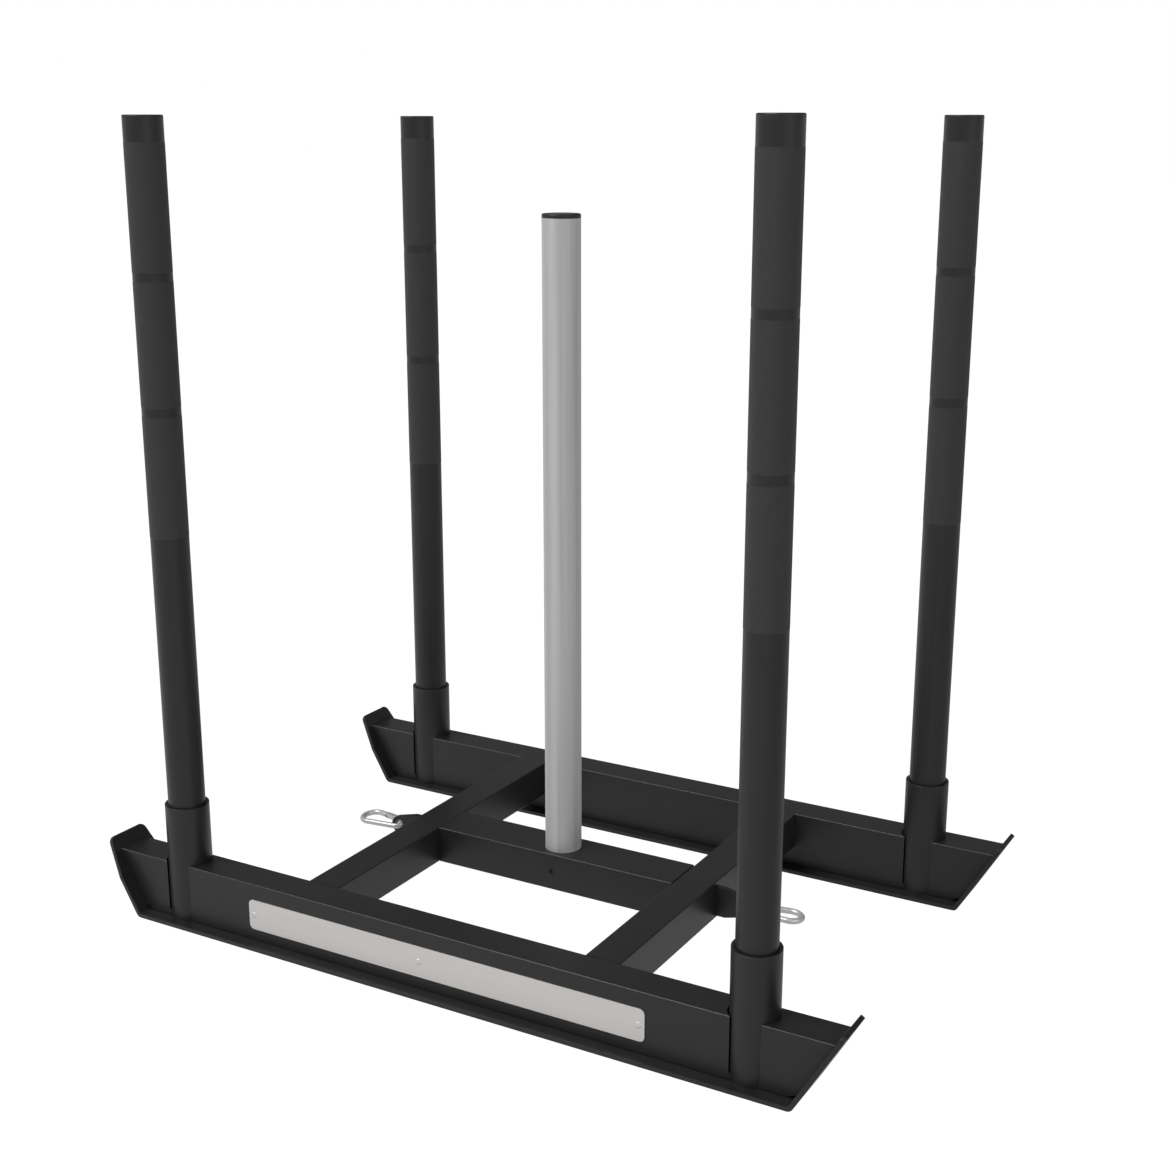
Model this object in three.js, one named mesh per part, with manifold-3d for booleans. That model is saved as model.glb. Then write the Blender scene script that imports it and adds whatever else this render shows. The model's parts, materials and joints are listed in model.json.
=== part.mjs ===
// Push sled: two steel runners with upturned ends, four lift-out push poles in sockets,
// a weight post on the centre beam, and a tow lug with a snap hook at each end.
// Millimetres, Z up. X runs along the runners, Y across them, Z = 0 is the ground.
import * as THREE from "three";
import { mergeVertices } from "three/addons/utils/BufferGeometryUtils.js";
import Module from "manifold-3d";

const wasm = await Module();
wasm.setup();

// Overall layout
const poleSpacingAlong = 842;
const poleSpacingAcross = 576;

// Base plates, the skis that the sled slides on. The flat part ends an overhang past the poles' axes.
const skiOverhang = 63.5;
const skiWidth = 85;
const skiThickness = 6;
const skiBendRadius = 2.5;
const upturnAngle = THREE.MathUtils.degToRad(60);
const upturnLength = 115;
const upturnStraight = 59;
const upturnTipWidth = 62;
const upturnCornerRadius = 10;

// Rails, box tube on the base plates
const railWidth = 48;
const railHeight = 80;
const railWall = 3;
const railCornerRadius = 1.5;

// Cross-members and centre beam, box tube with tops level with the rails
const crossSpacing = 421;
const crossWidth = 48.5;
const crossHeight = 52;
const crossWall = 3;
const crossCornerRadius = 1.5;
const beamWidth = 68;
const beamHeight = 52;
const beamWall = 3;
const beamCornerRadius = 1.5;

// Push poles and their caps and foot plugs
const poleDiameter = 50;
const poleWall = 3;
const poleTopHeight = 1064;
const poleCapHead = 4;
const poleCapEdge = 1.5;
const polePlugHead = 4;
const plugStem = 20;
const plugClearance = 0.3;
const endChamfer = 1;

// Sockets
const socketClearance = 0.5;
const socketWall = 4;
const socketTopHeight = 167.5;
const socketRimChamfer = 1;

// Weight post, its cap and its set screw
const postDiameter = 50;
const postWall = 3;
const postTubeTopHeight = 939;
const postCapHead = 5.5;
const postCapEdge = 2;
const postHoleClearance = 0.5;
const screwDiameter = 8;
const screwDrop = 25.5;
const screwKeyWidth = 4;
const screwKeyDepth = 4;
const screwClearance = 0.15;

// Tow lugs
const lugDrop = 26.5;
const lugThickness = 8;
const lugRootHeight = 41;
const lugStraight = 15;
const lugTipRadius = 13;
const lugHoleDiameter = 16.5;
const lugHoleReach = 42.75;

// Snap hooks
const hookWire = 8;
const hookNarrowRadius = 10.5;
const hookWideRadius = 16;
const hookBowSpacing = 47.5;
const hookPinReach = 12.5;
const hookNoseReach = 43.4;
const hookTongueThickness = 3.2;
const hookTongueRadius = 3.4;
const hookTongueRoot = 2;
const hookNoseTongue = 5;
const hookNoseHeight = 4.6;
const gateHeight = 7.6;
const gateThickness = 7.2;
const gateEndGap = 0.5;
const gateSlotClearance = 0.3;
const gateSlotDepth = 6;
const gatePinDiameter = 2.4;
const gatePinClearance = 0.12;
const gateBoreDiameter = 4;
const gateBoreDepth = 14;
const plungerHead = 4;
const plungerClearance = 0.2;
const springWire = 0.55;
const springTurns = 7;
const springSeatGap = 0.3;

// Name plate and rivets
const namePlateLength = 591.6;
const namePlateHeight = 42;
const namePlateThickness = 1.5;
const namePlateCorner = 7;
const namePlateShift = -2.5;
const namePlateDrop = 42.7;
const rivetEndInset = 8;
const rivetMiddleShift = -23.5;
const rivetHeadDiameter = 8;
const rivetHeadHeight = 1.6;
const rivetShankDiameter = 4;
const rivetShankLength = 9;
const rivetClearance = 0.2;

// How the pieces are put together
const weldGap = 0.3;
const overrun = 5;

// Roundness
const tubeSides = 36;
const smallSides = 16;
const arcSteps = 6;
const bendSteps = 3;
const edgeSteps = 3;
const cornerSteps = 1;
const lugSteps = 10;
const wireSides = 12;
const pinSides = 10;
const wireSteps = 40;
const springSides = 4;
const springStepsPerTurn = 7;
const hexagonSides = 6;

// Heights and half sizes worked out from the above
const topHeight = skiThickness + railHeight;
const halfAlong = poleSpacingAlong / 2;
const halfAcross = poleSpacingAcross / 2;
const skiFlatLength = poleSpacingAlong + 2 * skiOverhang;
const poleRadius = poleDiameter / 2;
const socketBoreRadius = poleRadius + socketClearance;
const socketRadius = socketBoreRadius + socketWall;
const postRadius = postDiameter / 2;
const crossLength = poleSpacingAcross - railWidth;
const lugRootReach = crossSpacing / 2 + crossWidth / 2;
const beamLength = crossSpacing - crossWidth;
const crossMiddleHeight = topHeight - crossHeight / 2;
const beamFloorHeight = topHeight - beamHeight + beamWall;
const lugHeight = topHeight - lugDrop;

// Finishes
const blackPowderCoat = { color: 0x303030, roughness: 0.5, metalness: 0.1 };
const blackPlastic = { color: 0x1c1c1c, roughness: 0.45, metalness: 0 };
const greyZinc = { color: 0x9a9a9a, roughness: 0.4, metalness: 0.9 };
const brightZinc = { color: 0xc4c4c4, roughness: 0.25, metalness: 0.95 };
const brushedSteel = { color: 0xbcbcba, roughness: 0.45, metalness: 0.8 };
const darkSteel = { color: 0x222222, roughness: 0.5, metalness: 0.5 };

// Joining and cutting
function toSolid(geometry) {
  const bare = geometry.clone();
  bare.deleteAttribute("normal");
  bare.deleteAttribute("uv");
  const merged = mergeVertices(bare);
  const vertProperties = new Float32Array(merged.attributes.position.array);
  const triVerts = new Uint32Array(merged.index.array);
  return new wasm.Manifold(new wasm.Mesh({ numProp: 3, vertProperties, triVerts }));
}

function toGeometry(solid) {
  const { vertProperties, triVerts } = solid.getMesh();
  const geometry = new THREE.BufferGeometry();
  geometry.setAttribute("position", new THREE.BufferAttribute(vertProperties, 3));
  geometry.setIndex(new THREE.BufferAttribute(triVerts, 1));
  geometry.computeVertexNormals();
  return geometry;
}

function cut(geometry, ...tools) {
  return toGeometry(tools.reduce((solid, tool) => solid.subtract(toSolid(tool)), toSolid(geometry)));
}

function join(geometry, ...others) {
  return toGeometry(others.reduce((solid, other) => solid.add(toSolid(other)), toSolid(geometry)));
}

// Shapes that several pieces share
function roundedRectangle(outline, width, height, corner) {
  const radius = Math.min(corner, width / 2, height / 2);
  const x = width / 2 - radius;
  const y = height / 2 - radius;
  outline.absarc(x, -y, radius, -Math.PI / 2, 0, false);
  outline.absarc(x, y, radius, 0, Math.PI / 2, false);
  outline.absarc(-x, y, radius, Math.PI / 2, Math.PI, false);
  outline.absarc(-x, -y, radius, Math.PI, Math.PI * 1.5, false);
  outline.closePath();
  return outline;
}

function rectangle(outline, width, height) {
  outline.moveTo(-width / 2, -height / 2);
  outline.lineTo(width / 2, -height / 2);
  outline.lineTo(width / 2, height / 2);
  outline.lineTo(-width / 2, height / 2);
  outline.closePath();
  return outline;
}

function boxTubeSection(width, height, wall, corner) {
  const section = roundedRectangle(new THREE.Shape(), width, height, corner);
  section.holes.push(rectangle(new THREE.Path(), width - 2 * wall, height - 2 * wall));
  return section;
}

// A section drawn across Y and Z, run along X from a start
function barAlongX(section, start, length) {
  const options = { depth: length, bevelEnabled: false, curveSegments: cornerSteps };
  const bar = new THREE.ExtrudeGeometry(section, options);
  const turn = new THREE.Matrix4().makeBasis(
    new THREE.Vector3(0, 1, 0),
    new THREE.Vector3(0, 0, 1),
    new THREE.Vector3(1, 0, 0),
  );
  bar.applyMatrix4(turn);
  bar.translate(start, 0, 0);
  return bar;
}

// An outline drawn in X and Z, run across Y with its middle on Y = 0
function slabAcrossY(outline, width, curveSegments) {
  const slab = new THREE.ExtrudeGeometry(outline, { depth: width, bevelEnabled: false, curveSegments });
  slab.rotateX(Math.PI / 2);
  slab.translate(0, width / 2, 0);
  return slab;
}

// A round bar on the Z axis
function roundBar(radius, low, high, sides = tubeSides) {
  const bar = new THREE.CylinderGeometry(radius, radius, high - low, sides);
  bar.rotateX(Math.PI / 2);
  bar.translate(0, 0, (low + high) / 2);
  return bar;
}

// A profile of radius and height pairs, turned round the Z axis
function turned(profile, sides = tubeSides) {
  const points = profile.map(([radius, height]) => new THREE.Vector2(radius, height));
  const body = new THREE.LatheGeometry(points, sides);
  body.rotateX(Math.PI / 2);
  return body;
}

// A round tube on the Z axis with its outer end edges chamfered
function roundTube(outerRadius, innerRadius, low, high, chamfer) {
  return turned([
    [innerRadius, low],
    [outerRadius - chamfer, low],
    [outerRadius, low + chamfer],
    [outerRadius, high - chamfer],
    [outerRadius - chamfer, high],
    [innerRadius, high],
    [innerRadius, low],
  ]);
}

// A push-in plug: a stem inside the tube and a head as wide as the tube, edge rounded
function pushInPlug(headRadius, stemRadius, stemLength, headHeight, edge) {
  const rounded = Array.from({ length: edgeSteps + 1 }, (_, step) => {
    const angle = (step / edgeSteps) * (Math.PI / 2);
    return [
      headRadius - edge + edge * Math.cos(angle),
      headHeight - edge + edge * Math.sin(angle),
    ];
  });
  const stem = [[0, -stemLength], [stemRadius, -stemLength], [stemRadius, 0], [headRadius, 0]];
  return turned([...stem, ...rounded, [0, headHeight]]);
}

function piece(name, geometry, finish) {
  const mesh = new THREE.Mesh(geometry, new THREE.MeshStandardMaterial(finish));
  mesh.name = name;
  return mesh;
}

function pieceAt(name, geometry, finish, x, y, z) {
  const mesh = piece(name, geometry, finish);
  mesh.position.set(x, y, z);
  return mesh;
}

// Base plate: a flat strip with both ends bent up, the ends tapered and their corners rounded
function skiOutline() {
  const outerRadius = skiBendRadius + skiThickness;
  const bendAt = skiFlatLength / 2 - outerRadius * Math.tan(upturnAngle / 2);
  const down = -Math.PI / 2;
  const slope = new THREE.Vector2(Math.cos(upturnAngle), Math.sin(upturnAngle));
  const tip = slope.clone().multiplyScalar(upturnLength);
  const inward = new THREE.Vector2(-slope.y, slope.x).multiplyScalar(skiThickness);
  const tipX = skiFlatLength / 2 + tip.x;
  const outline = new THREE.Shape();
  outline.absarc(bendAt, outerRadius, outerRadius, down, down + upturnAngle, false);
  outline.lineTo(tipX, tip.y);
  outline.lineTo(tipX + inward.x, tip.y + inward.y);
  outline.absarc(bendAt, outerRadius, skiBendRadius, down + upturnAngle, down, true);
  outline.absarc(-bendAt, outerRadius, skiBendRadius, down, down - upturnAngle, true);
  outline.lineTo(-tipX - inward.x, tip.y + inward.y);
  outline.lineTo(-tipX, tip.y);
  outline.absarc(-bendAt, outerRadius, outerRadius, down - upturnAngle, down, false);
  outline.closePath();
  return outline;
}

// What comes off one side of an upturned end, side +1 or -1, end +1 or -1
function upturnTrim(side, end) {
  const half = skiWidth / 2;
  const taper = Math.atan2(half - upturnTipWidth / 2, upturnLength - upturnStraight);
  const radius = upturnCornerRadius;
  const centreAlong = upturnLength - radius;
  const centreAcross = upturnTipWidth / 2 - (radius * (1 - Math.sin(taper))) / Math.cos(taper);
  const outline = new THREE.Shape();
  outline.moveTo(upturnStraight - overrun / Math.tan(taper), side * (half + overrun));
  for (let step = 0; step <= arcSteps; step += 1) {
    const angle = (Math.PI / 2 - taper) * (1 - step / arcSteps);
    outline.lineTo(centreAlong + radius * Math.cos(angle), side * (centreAcross + radius * Math.sin(angle)));
  }
  outline.lineTo(upturnLength + overrun, side * centreAcross);
  outline.lineTo(upturnLength + overrun, side * (half + overrun));
  outline.closePath();
  const depth = skiThickness + 2 * overrun;
  const tool = new THREE.ExtrudeGeometry(outline, { depth, bevelEnabled: false });
  tool.translate(0, 0, -overrun);
  const frame = new THREE.Matrix4().makeBasis(
    new THREE.Vector3(Math.cos(upturnAngle), 0, Math.sin(upturnAngle)),
    new THREE.Vector3(0, 1, 0),
    new THREE.Vector3(-Math.sin(upturnAngle), 0, Math.cos(upturnAngle)),
  );
  tool.applyMatrix4(frame);
  tool.translate(skiFlatLength / 2, 0, 0);
  if (end < 0) tool.rotateZ(Math.PI);
  return tool;
}

function basePlateGeometry() {
  const trims = [1, -1].flatMap((end) => [1, -1].map((side) => upturnTrim(side, end)));
  return cut(slabAcrossY(skiOutline(), skiWidth, bendSteps), ...trims);
}

// Rail, in three lengths that are saddled onto the two sockets
function railSection() {
  return boxTubeSection(railWidth, railHeight, railWall, railCornerRadius);
}

function socketSaddle(x) {
  const tool = roundBar(socketRadius + weldGap, -overrun, topHeight + overrun);
  tool.translate(x, 0, 0);
  return tool;
}

function railMiddleGeometry() {
  const bar = barAlongX(railSection(), -halfAlong, poleSpacingAlong);
  bar.translate(0, 0, skiThickness + railHeight / 2);
  return cut(bar, socketSaddle(-halfAlong), socketSaddle(halfAlong));
}

// The mitre lies along the inside of the upturned end, and its heel clears the bend
function railEndGeometry() {
  const mitreAt = (height) => {
    const underside = skiFlatLength / 2 + height / Math.tan(upturnAngle);
    return underside - (skiThickness + weldGap) / Math.sin(upturnAngle);
  };
  const low = skiThickness - overrun;
  const high = topHeight + overrun;
  const far = skiFlatLength / 2 + upturnLength;
  const waste = new THREE.Shape();
  waste.moveTo(mitreAt(skiThickness) - skiBendRadius, low);
  waste.lineTo(mitreAt(skiThickness) - skiBendRadius, skiThickness);
  waste.lineTo(mitreAt(skiThickness + skiBendRadius), skiThickness + skiBendRadius);
  waste.lineTo(mitreAt(high), high);
  waste.lineTo(far, high);
  waste.lineTo(far, low);
  waste.closePath();
  const bar = barAlongX(railSection(), halfAlong, far - halfAlong - overrun);
  bar.translate(0, 0, skiThickness + railHeight / 2);
  const mitre = slabAcrossY(waste, railWidth + 2 * overrun, cornerSteps);
  return cut(bar, socketSaddle(halfAlong), mitre);
}

// Name plate on the outer face of the near rail, and the rivets that hold it
const namePlateFace = -halfAcross - railWidth / 2;
const namePlateHeightAt = topHeight - namePlateDrop;
const rivetPlaces = [
  -namePlateLength / 2 + rivetEndInset,
  rivetMiddleShift,
  namePlateLength / 2 - rivetEndInset,
];
const rivetHoleRadius = rivetShankDiameter / 2 + rivetClearance;

function rivetHoleTool(x, height) {
  const tool = roundBar(rivetHoleRadius, -railWall - overrun, railWall + overrun, smallSides);
  tool.rotateX(Math.PI / 2);
  tool.translate(namePlateShift + x, -railWidth / 2, height);
  return tool;
}

function nearRailMiddleGeometry() {
  return cut(railMiddleGeometry(), ...rivetPlaces.map((x) => rivetHoleTool(x, namePlateHeightAt)));
}

function namePlateGeometry() {
  const outline = roundedRectangle(new THREE.Shape(), namePlateLength, namePlateHeight, namePlateCorner);
  for (const x of rivetPlaces) {
    const hole = new THREE.Path();
    hole.absarc(x, 0, rivetHoleRadius, 0, Math.PI * 2, true);
    outline.holes.push(hole);
  }
  return slabAcrossY(outline, namePlateThickness, arcSteps);
}

function rivetGeometry() {
  const headRadius = rivetHeadDiameter / 2;
  const shankRadius = rivetShankDiameter / 2;
  const dome = Array.from({ length: edgeSteps }, (_, step) => {
    const angle = (step / edgeSteps) * (Math.PI / 2);
    return [headRadius * Math.cos(angle), rivetHeadHeight * Math.sin(angle)];
  });
  const shank = [[0, -rivetShankLength], [shankRadius, -rivetShankLength], [shankRadius, 0]];
  const body = turned([...shank, ...dome, [0, rivetHeadHeight]], smallSides);
  body.rotateX(Math.PI / 2);
  return body;
}

// Cross-members and centre beam
function crossMemberGeometry() {
  const section = boxTubeSection(crossWidth, crossHeight, crossWall, crossCornerRadius);
  return slabAcrossY(section, crossLength, cornerSteps);
}

function centreBeamGeometry() {
  const section = boxTubeSection(beamWidth, beamHeight, beamWall, beamCornerRadius);
  const tube = barAlongX(section, -beamLength / 2, beamLength);
  tube.translate(0, 0, topHeight - beamHeight / 2);
  const postHoleRadius = postRadius + postHoleClearance;
  const postHole = roundBar(postHoleRadius, topHeight - beamWall - overrun, topHeight + overrun);
  const screwHoleRadius = screwDiameter / 2 + screwClearance;
  const screwHole = roundBar(screwHoleRadius, -beamWall - overrun, beamWall + overrun, smallSides);
  screwHole.rotateX(Math.PI / 2);
  screwHole.translate(0, -beamWidth / 2, topHeight - screwDrop);
  return cut(tube, postHole, screwHole);
}

// A headless screw with a hexagon key socket, its key end flush with the side of the beam
function setScrewGeometry() {
  const length = beamWidth / 2 - postRadius - weldGap;
  const shank = roundBar(screwDiameter / 2, 0, length, smallSides);
  const keyRadius = screwKeyWidth / Math.sqrt(3);
  const key = roundBar(keyRadius, length - screwKeyDepth, length + overrun, hexagonSides);
  const screw = cut(shank, key);
  screw.rotateX(Math.PI / 2);
  return screw;
}

// Tow lug: an upright plate, its outline tapering to a round tip with a hole
function towLugGeometry() {
  const halfRoot = lugRootHeight / 2;
  const toCentre = new THREE.Vector2(lugHoleReach - lugStraight, -halfRoot);
  const slope = toCentre.angle() - Math.PI * 2 + Math.asin(lugTipRadius / toCentre.length());
  const tipFrom = slope + Math.PI / 2;
  const outline = new THREE.Shape();
  outline.moveTo(0, halfRoot);
  outline.lineTo(0, -halfRoot);
  outline.lineTo(lugStraight, -halfRoot);
  outline.absarc(lugHoleReach, 0, lugTipRadius, -tipFrom, tipFrom, false);
  outline.lineTo(lugStraight, halfRoot);
  outline.closePath();
  const hole = new THREE.Path();
  hole.absarc(lugHoleReach, 0, lugHoleDiameter / 2, 0, Math.PI * 2, true);
  outline.holes.push(hole);
  return slabAcrossY(outline, lugThickness, lugSteps);
}

// Snap hook, drawn in its own plane: U from the narrow bow to the wide one, V towards the gate.
// The wire's centre line touches U = 0 at the narrow bow.
const hookFlank = Math.asin((hookWideRadius - hookNarrowRadius) / hookBowSpacing);
const hookWireRadius = hookWire / 2;

// A point on the centre line of the gate side
function gateSidePoint(u) {
  const startU = hookNarrowRadius * (1 - Math.sin(hookFlank));
  const startV = hookNarrowRadius * Math.cos(hookFlank);
  return new THREE.Vector2(u, startV + (u - startU) * Math.tan(hookFlank));
}

class HookWirePath extends THREE.Curve {
  constructor(fromU, toU) {
    super();
    const wideU = hookNarrowRadius + hookBowSpacing;
    const turnNarrow = Math.PI - 2 * hookFlank;
    const turnWide = Math.PI + 2 * hookFlank;
    const straight = hookBowSpacing * Math.cos(hookFlank);
    const narrowEndU = hookNarrowRadius * (1 - Math.sin(hookFlank));
    const wideEndU = wideU - hookWideRadius * Math.sin(hookFlank);
    const first = Math.max(fromU - narrowEndU, 0) / Math.cos(hookFlank);
    const last = (wideEndU - toU) / Math.cos(hookFlank);
    this.fromPoint = gateSidePoint(fromU);
    const narrow = { centreU: hookNarrowRadius, radius: hookNarrowRadius, from: Math.PI / 2 + hookFlank };
    const wide = { centreU: wideU, radius: hookWideRadius, from: -Math.PI / 2 - hookFlank };
    this.spans = [
      { length: first, at: (s) => this.along(this.fromPoint, Math.PI + hookFlank, s) },
      { length: narrow.radius * turnNarrow, at: (s) => this.round(narrow, s) },
      { length: straight, at: (s) => this.along(this.narrowLeave(), -hookFlank, s) },
      { length: wide.radius * turnWide, at: (s) => this.round(wide, s) },
      { length: last, at: (s) => this.along(gateSidePoint(wideEndU), Math.PI + hookFlank, s) },
    ];
    this.total = this.spans.reduce((sum, span) => sum + span.length, 0);
  }

  narrowLeave() {
    const p = gateSidePoint(hookNarrowRadius * (1 - Math.sin(hookFlank)));
    return new THREE.Vector2(p.x, -p.y);
  }

  along(from, heading, s) {
    return new THREE.Vector2(from.x + s * Math.cos(heading), from.y + s * Math.sin(heading));
  }

  round(bow, s) {
    const angle = bow.from + s / bow.radius;
    return new THREE.Vector2(bow.centreU + bow.radius * Math.cos(angle), bow.radius * Math.sin(angle));
  }

  getPoint(t, target = new THREE.Vector3()) {
    let s = t * this.total;
    let index = 0;
    while (index < this.spans.length - 1 && s > this.spans[index].length) {
      s -= this.spans[index].length;
      index += 1;
    }
    const p = this.spans[index].at(s);
    return target.set(p.x, p.y, 0);
  }
}

function circleShape(radius, sides) {
  const points = Array.from({ length: sides }, (_, side) => {
    const angle = ((side + 0.5) / sides) * Math.PI * 2;
    return new THREE.Vector2(radius * Math.cos(angle), radius * Math.sin(angle));
  });
  return new THREE.Shape(points);
}

// An outline drawn along the gate side from the gate's pin, as thick as a tongue
function tongue(outline) {
  const options = { depth: hookTongueThickness, bevelEnabled: false, curveSegments: edgeSteps };
  const plate = new THREE.ExtrudeGeometry(outline, options);
  plate.translate(0, 0, -hookTongueThickness / 2);
  plate.applyMatrix4(gateFrameMatrix());
  return plate;
}

function hingeTongueGeometry() {
  const root = -gateHeight / 2 - gateEndGap - hookTongueRoot;
  const outline = new THREE.Shape();
  outline.absarc(0, 0, hookTongueRadius, -Math.PI / 2, Math.PI / 2, false);
  outline.lineTo(root, hookTongueRadius);
  outline.lineTo(root, -hookTongueRadius);
  outline.closePath();
  return tongue(outline);
}

function noseTongueGeometry() {
  const half = hookNoseHeight / 2;
  const from = gateLength - hookNoseTongue;
  const root = gateLength + gateEndGap + hookTongueRoot;
  const outline = new THREE.Shape();
  outline.moveTo(from, -half);
  outline.lineTo(root, -half);
  outline.lineTo(root, half);
  outline.lineTo(from, half);
  outline.closePath();
  return tongue(outline);
}

function gatePinBar(radius, halfLength) {
  const at = gateSidePoint(hookPinReach);
  const bar = roundBar(radius, -halfLength, halfLength, pinSides);
  bar.translate(at.x, at.y, 0);
  return bar;
}

// The wire stops short of the gate at both ends and goes on as two flat tongues
function hookBodyGeometry() {
  const hingeShoulder = hookPinReach - (gateHeight / 2 + gateEndGap) * Math.cos(hookFlank);
  const noseShoulder = hookNoseReach + gateEndGap * Math.cos(hookFlank);
  const path = new HookWirePath(hingeShoulder, noseShoulder);
  const wire = new THREE.ExtrudeGeometry(circleShape(hookWireRadius, wireSides), {
    steps: wireSteps,
    bevelEnabled: false,
    extrudePath: path,
  });
  const pinHole = gatePinBar(gatePinDiameter / 2 + gatePinClearance, hookTongueThickness);
  return cut(join(wire, hingeTongueGeometry(), noseTongueGeometry()), pinHole);
}

// The gate: a flat-sided bar, rounded at its pin, slotted at both ends and bored for its spring
const gateLength = (hookNoseReach - hookPinReach) / Math.cos(hookFlank);
const gateSlotHalf = hookTongueThickness / 2 + gateSlotClearance;
const gateBoreEnd = gateSlotDepth + gateBoreDepth;

function gateFrameMatrix() {
  const pin = gateSidePoint(hookPinReach);
  return new THREE.Matrix4().makeRotationZ(hookFlank).setPosition(pin.x, pin.y, 0);
}

function barAlongU(geometry) {
  geometry.rotateY(Math.PI / 2);
  return geometry;
}

function gateGeometry() {
  const half = gateHeight / 2;
  const outline = new THREE.Shape();
  outline.absarc(0, 0, half, Math.PI / 2, Math.PI * 1.5, false);
  outline.lineTo(gateLength, -half);
  outline.lineTo(gateLength, half);
  outline.closePath();
  const options = { depth: gateThickness, bevelEnabled: false, curveSegments: arcSteps };
  const bar = new THREE.ExtrudeGeometry(outline, options);
  bar.translate(0, 0, -gateThickness / 2);
  const slotHeight = gateHeight + 2 * overrun;
  const hingeSlot = new THREE.BoxGeometry(gateSlotDepth + half + overrun, slotHeight, 2 * gateSlotHalf);
  hingeSlot.translate((gateSlotDepth - half - overrun) / 2, 0, 0);
  const noseSlotDepth = hookNoseTongue + 2 * gateEndGap;
  const noseSlot = new THREE.BoxGeometry(noseSlotDepth + overrun, slotHeight, 2 * gateSlotHalf);
  noseSlot.translate(gateLength - noseSlotDepth + (noseSlotDepth + overrun) / 2, 0, 0);
  const bore = barAlongU(roundBar(gateBoreDiameter / 2, hookTongueRadius, gateBoreEnd, wireSides));
  const pinHoleRadius = gatePinDiameter / 2 + gatePinClearance;
  const pinHole = roundBar(pinHoleRadius, -gateThickness, gateThickness, pinSides);
  const gate = cut(bar, hingeSlot, noseSlot, bore, pinHole);
  gate.applyMatrix4(gateFrameMatrix());
  return gate;
}

function gatePinGeometry() {
  return gatePinBar(gatePinDiameter / 2, gateThickness / 2);
}

// The plunger bears on the round end of the body's tongue, and the spring pushes it there
function plungerGeometry() {
  const from = hookTongueRadius + springSeatGap;
  const radius = gateBoreDiameter / 2 - plungerClearance;
  const plunger = barAlongU(roundBar(radius, from, gateSlotDepth + plungerHead, wireSides));
  plunger.applyMatrix4(gateFrameMatrix());
  return plunger;
}

class SpringPath extends THREE.Curve {
  getPoint(t, target = new THREE.Vector3()) {
    const radius = gateBoreDiameter / 2 - plungerClearance - springWire / 2;
    const start = gateSlotDepth + plungerHead + springSeatGap + springWire / 2;
    const end = gateBoreEnd - springSeatGap - springWire / 2;
    const angle = t * springTurns * Math.PI * 2;
    return target.set(start + t * (end - start), radius * Math.cos(angle), radius * Math.sin(angle));
  }
}

function gateSpringGeometry() {
  const spring = new THREE.ExtrudeGeometry(circleShape(springWire / 2, springSides), {
    steps: springTurns * springStepsPerTurn,
    bevelEnabled: false,
    extrudePath: new SpringPath(),
  });
  spring.applyMatrix4(gateFrameMatrix());
  return spring;
}

// Where each hook lies: the shift of its wire in the lug hole, out, through and up, and how far it is turned
const hookPlaces = {
  left: { pull: -3.4, slide: 0, lift: 0.5, tilt: -2.5, yaw: -6, roll: -4 },
  right: { pull: 1.6, slide: -1.8, lift: 0.8, tilt: -4, yaw: 13, roll: -3 },
};

function hookGroup(end) {
  const place = hookPlaces[end];
  const hook = new THREE.Group();
  hook.add(piece(`snap_hook_${end}`, hookBodyGeometry(), brightZinc));
  hook.add(piece(`hook_gate_${end}`, gateGeometry(), brightZinc));
  hook.add(piece(`gate_pin_${end}`, gatePinGeometry(), brightZinc));
  hook.add(piece(`gate_plunger_${end}`, plungerGeometry(), darkSteel));
  hook.add(piece(`gate_spring_${end}`, gateSpringGeometry(), brightZinc));
  hook.rotation.order = "ZYX";
  hook.rotation.set(
    THREE.MathUtils.degToRad(180 + place.roll),
    THREE.MathUtils.degToRad(-place.tilt),
    THREE.MathUtils.degToRad(place.yaw),
  );
  hook.position.set(lugRootReach + lugHoleReach + place.pull, place.slide, lugHeight + place.lift);
  const facing = new THREE.Group();
  facing.add(hook);
  if (end === "left") facing.rotation.z = Math.PI;
  return facing;
}

// Each end of the sled: a cross-member, its tow lug and its snap hook
function endGroup(end) {
  const group = new THREE.Group();
  const way = end === "left" ? -1 : 1;
  const crossMember = piece(`cross_member_${end}`, crossMemberGeometry(), blackPowderCoat);
  crossMember.position.set((way * crossSpacing) / 2, 0, crossMiddleHeight);
  const lug = piece(`tow_lug_${end}`, towLugGeometry(), blackPowderCoat);
  lug.position.set(way * lugRootReach, 0, lugHeight);
  if (way < 0) lug.rotation.z = Math.PI;
  group.add(crossMember, lug, hookGroup(end));
  return group;
}

function socketGeometry() {
  return roundTube(socketRadius, socketBoreRadius, skiThickness, socketTopHeight, socketRimChamfer);
}

// Each runner: base plate, rail in three lengths, two sockets and two push poles
function runnerGroup(side) {
  const runner = new THREE.Group();
  const middle = side === "near" ? nearRailMiddleGeometry() : railMiddleGeometry();
  runner.add(piece(`base_plate_${side}`, basePlateGeometry(), blackPowderCoat));
  runner.add(piece(`rail_${side}_middle`, middle, blackPowderCoat));
  for (const end of ["left", "right"]) {
    const way = end === "left" ? -1 : 1;
    const railEnd = piece(`rail_${side}_${end}`, railEndGeometry(), blackPowderCoat);
    if (way < 0) railEnd.rotation.z = Math.PI;
    runner.add(railEnd);
    const place = `${side}_${end}`;
    const socket = piece(`socket_${place}`, socketGeometry(), blackPowderCoat);
    socket.position.x = way * halfAlong;
    runner.add(socket);
    const pole = poleGroup(place);
    pole.position.x = way * halfAlong;
    runner.add(pole);
  }
  runner.position.y = side === "near" ? -halfAcross : halfAcross;
  return runner;
}

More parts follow.
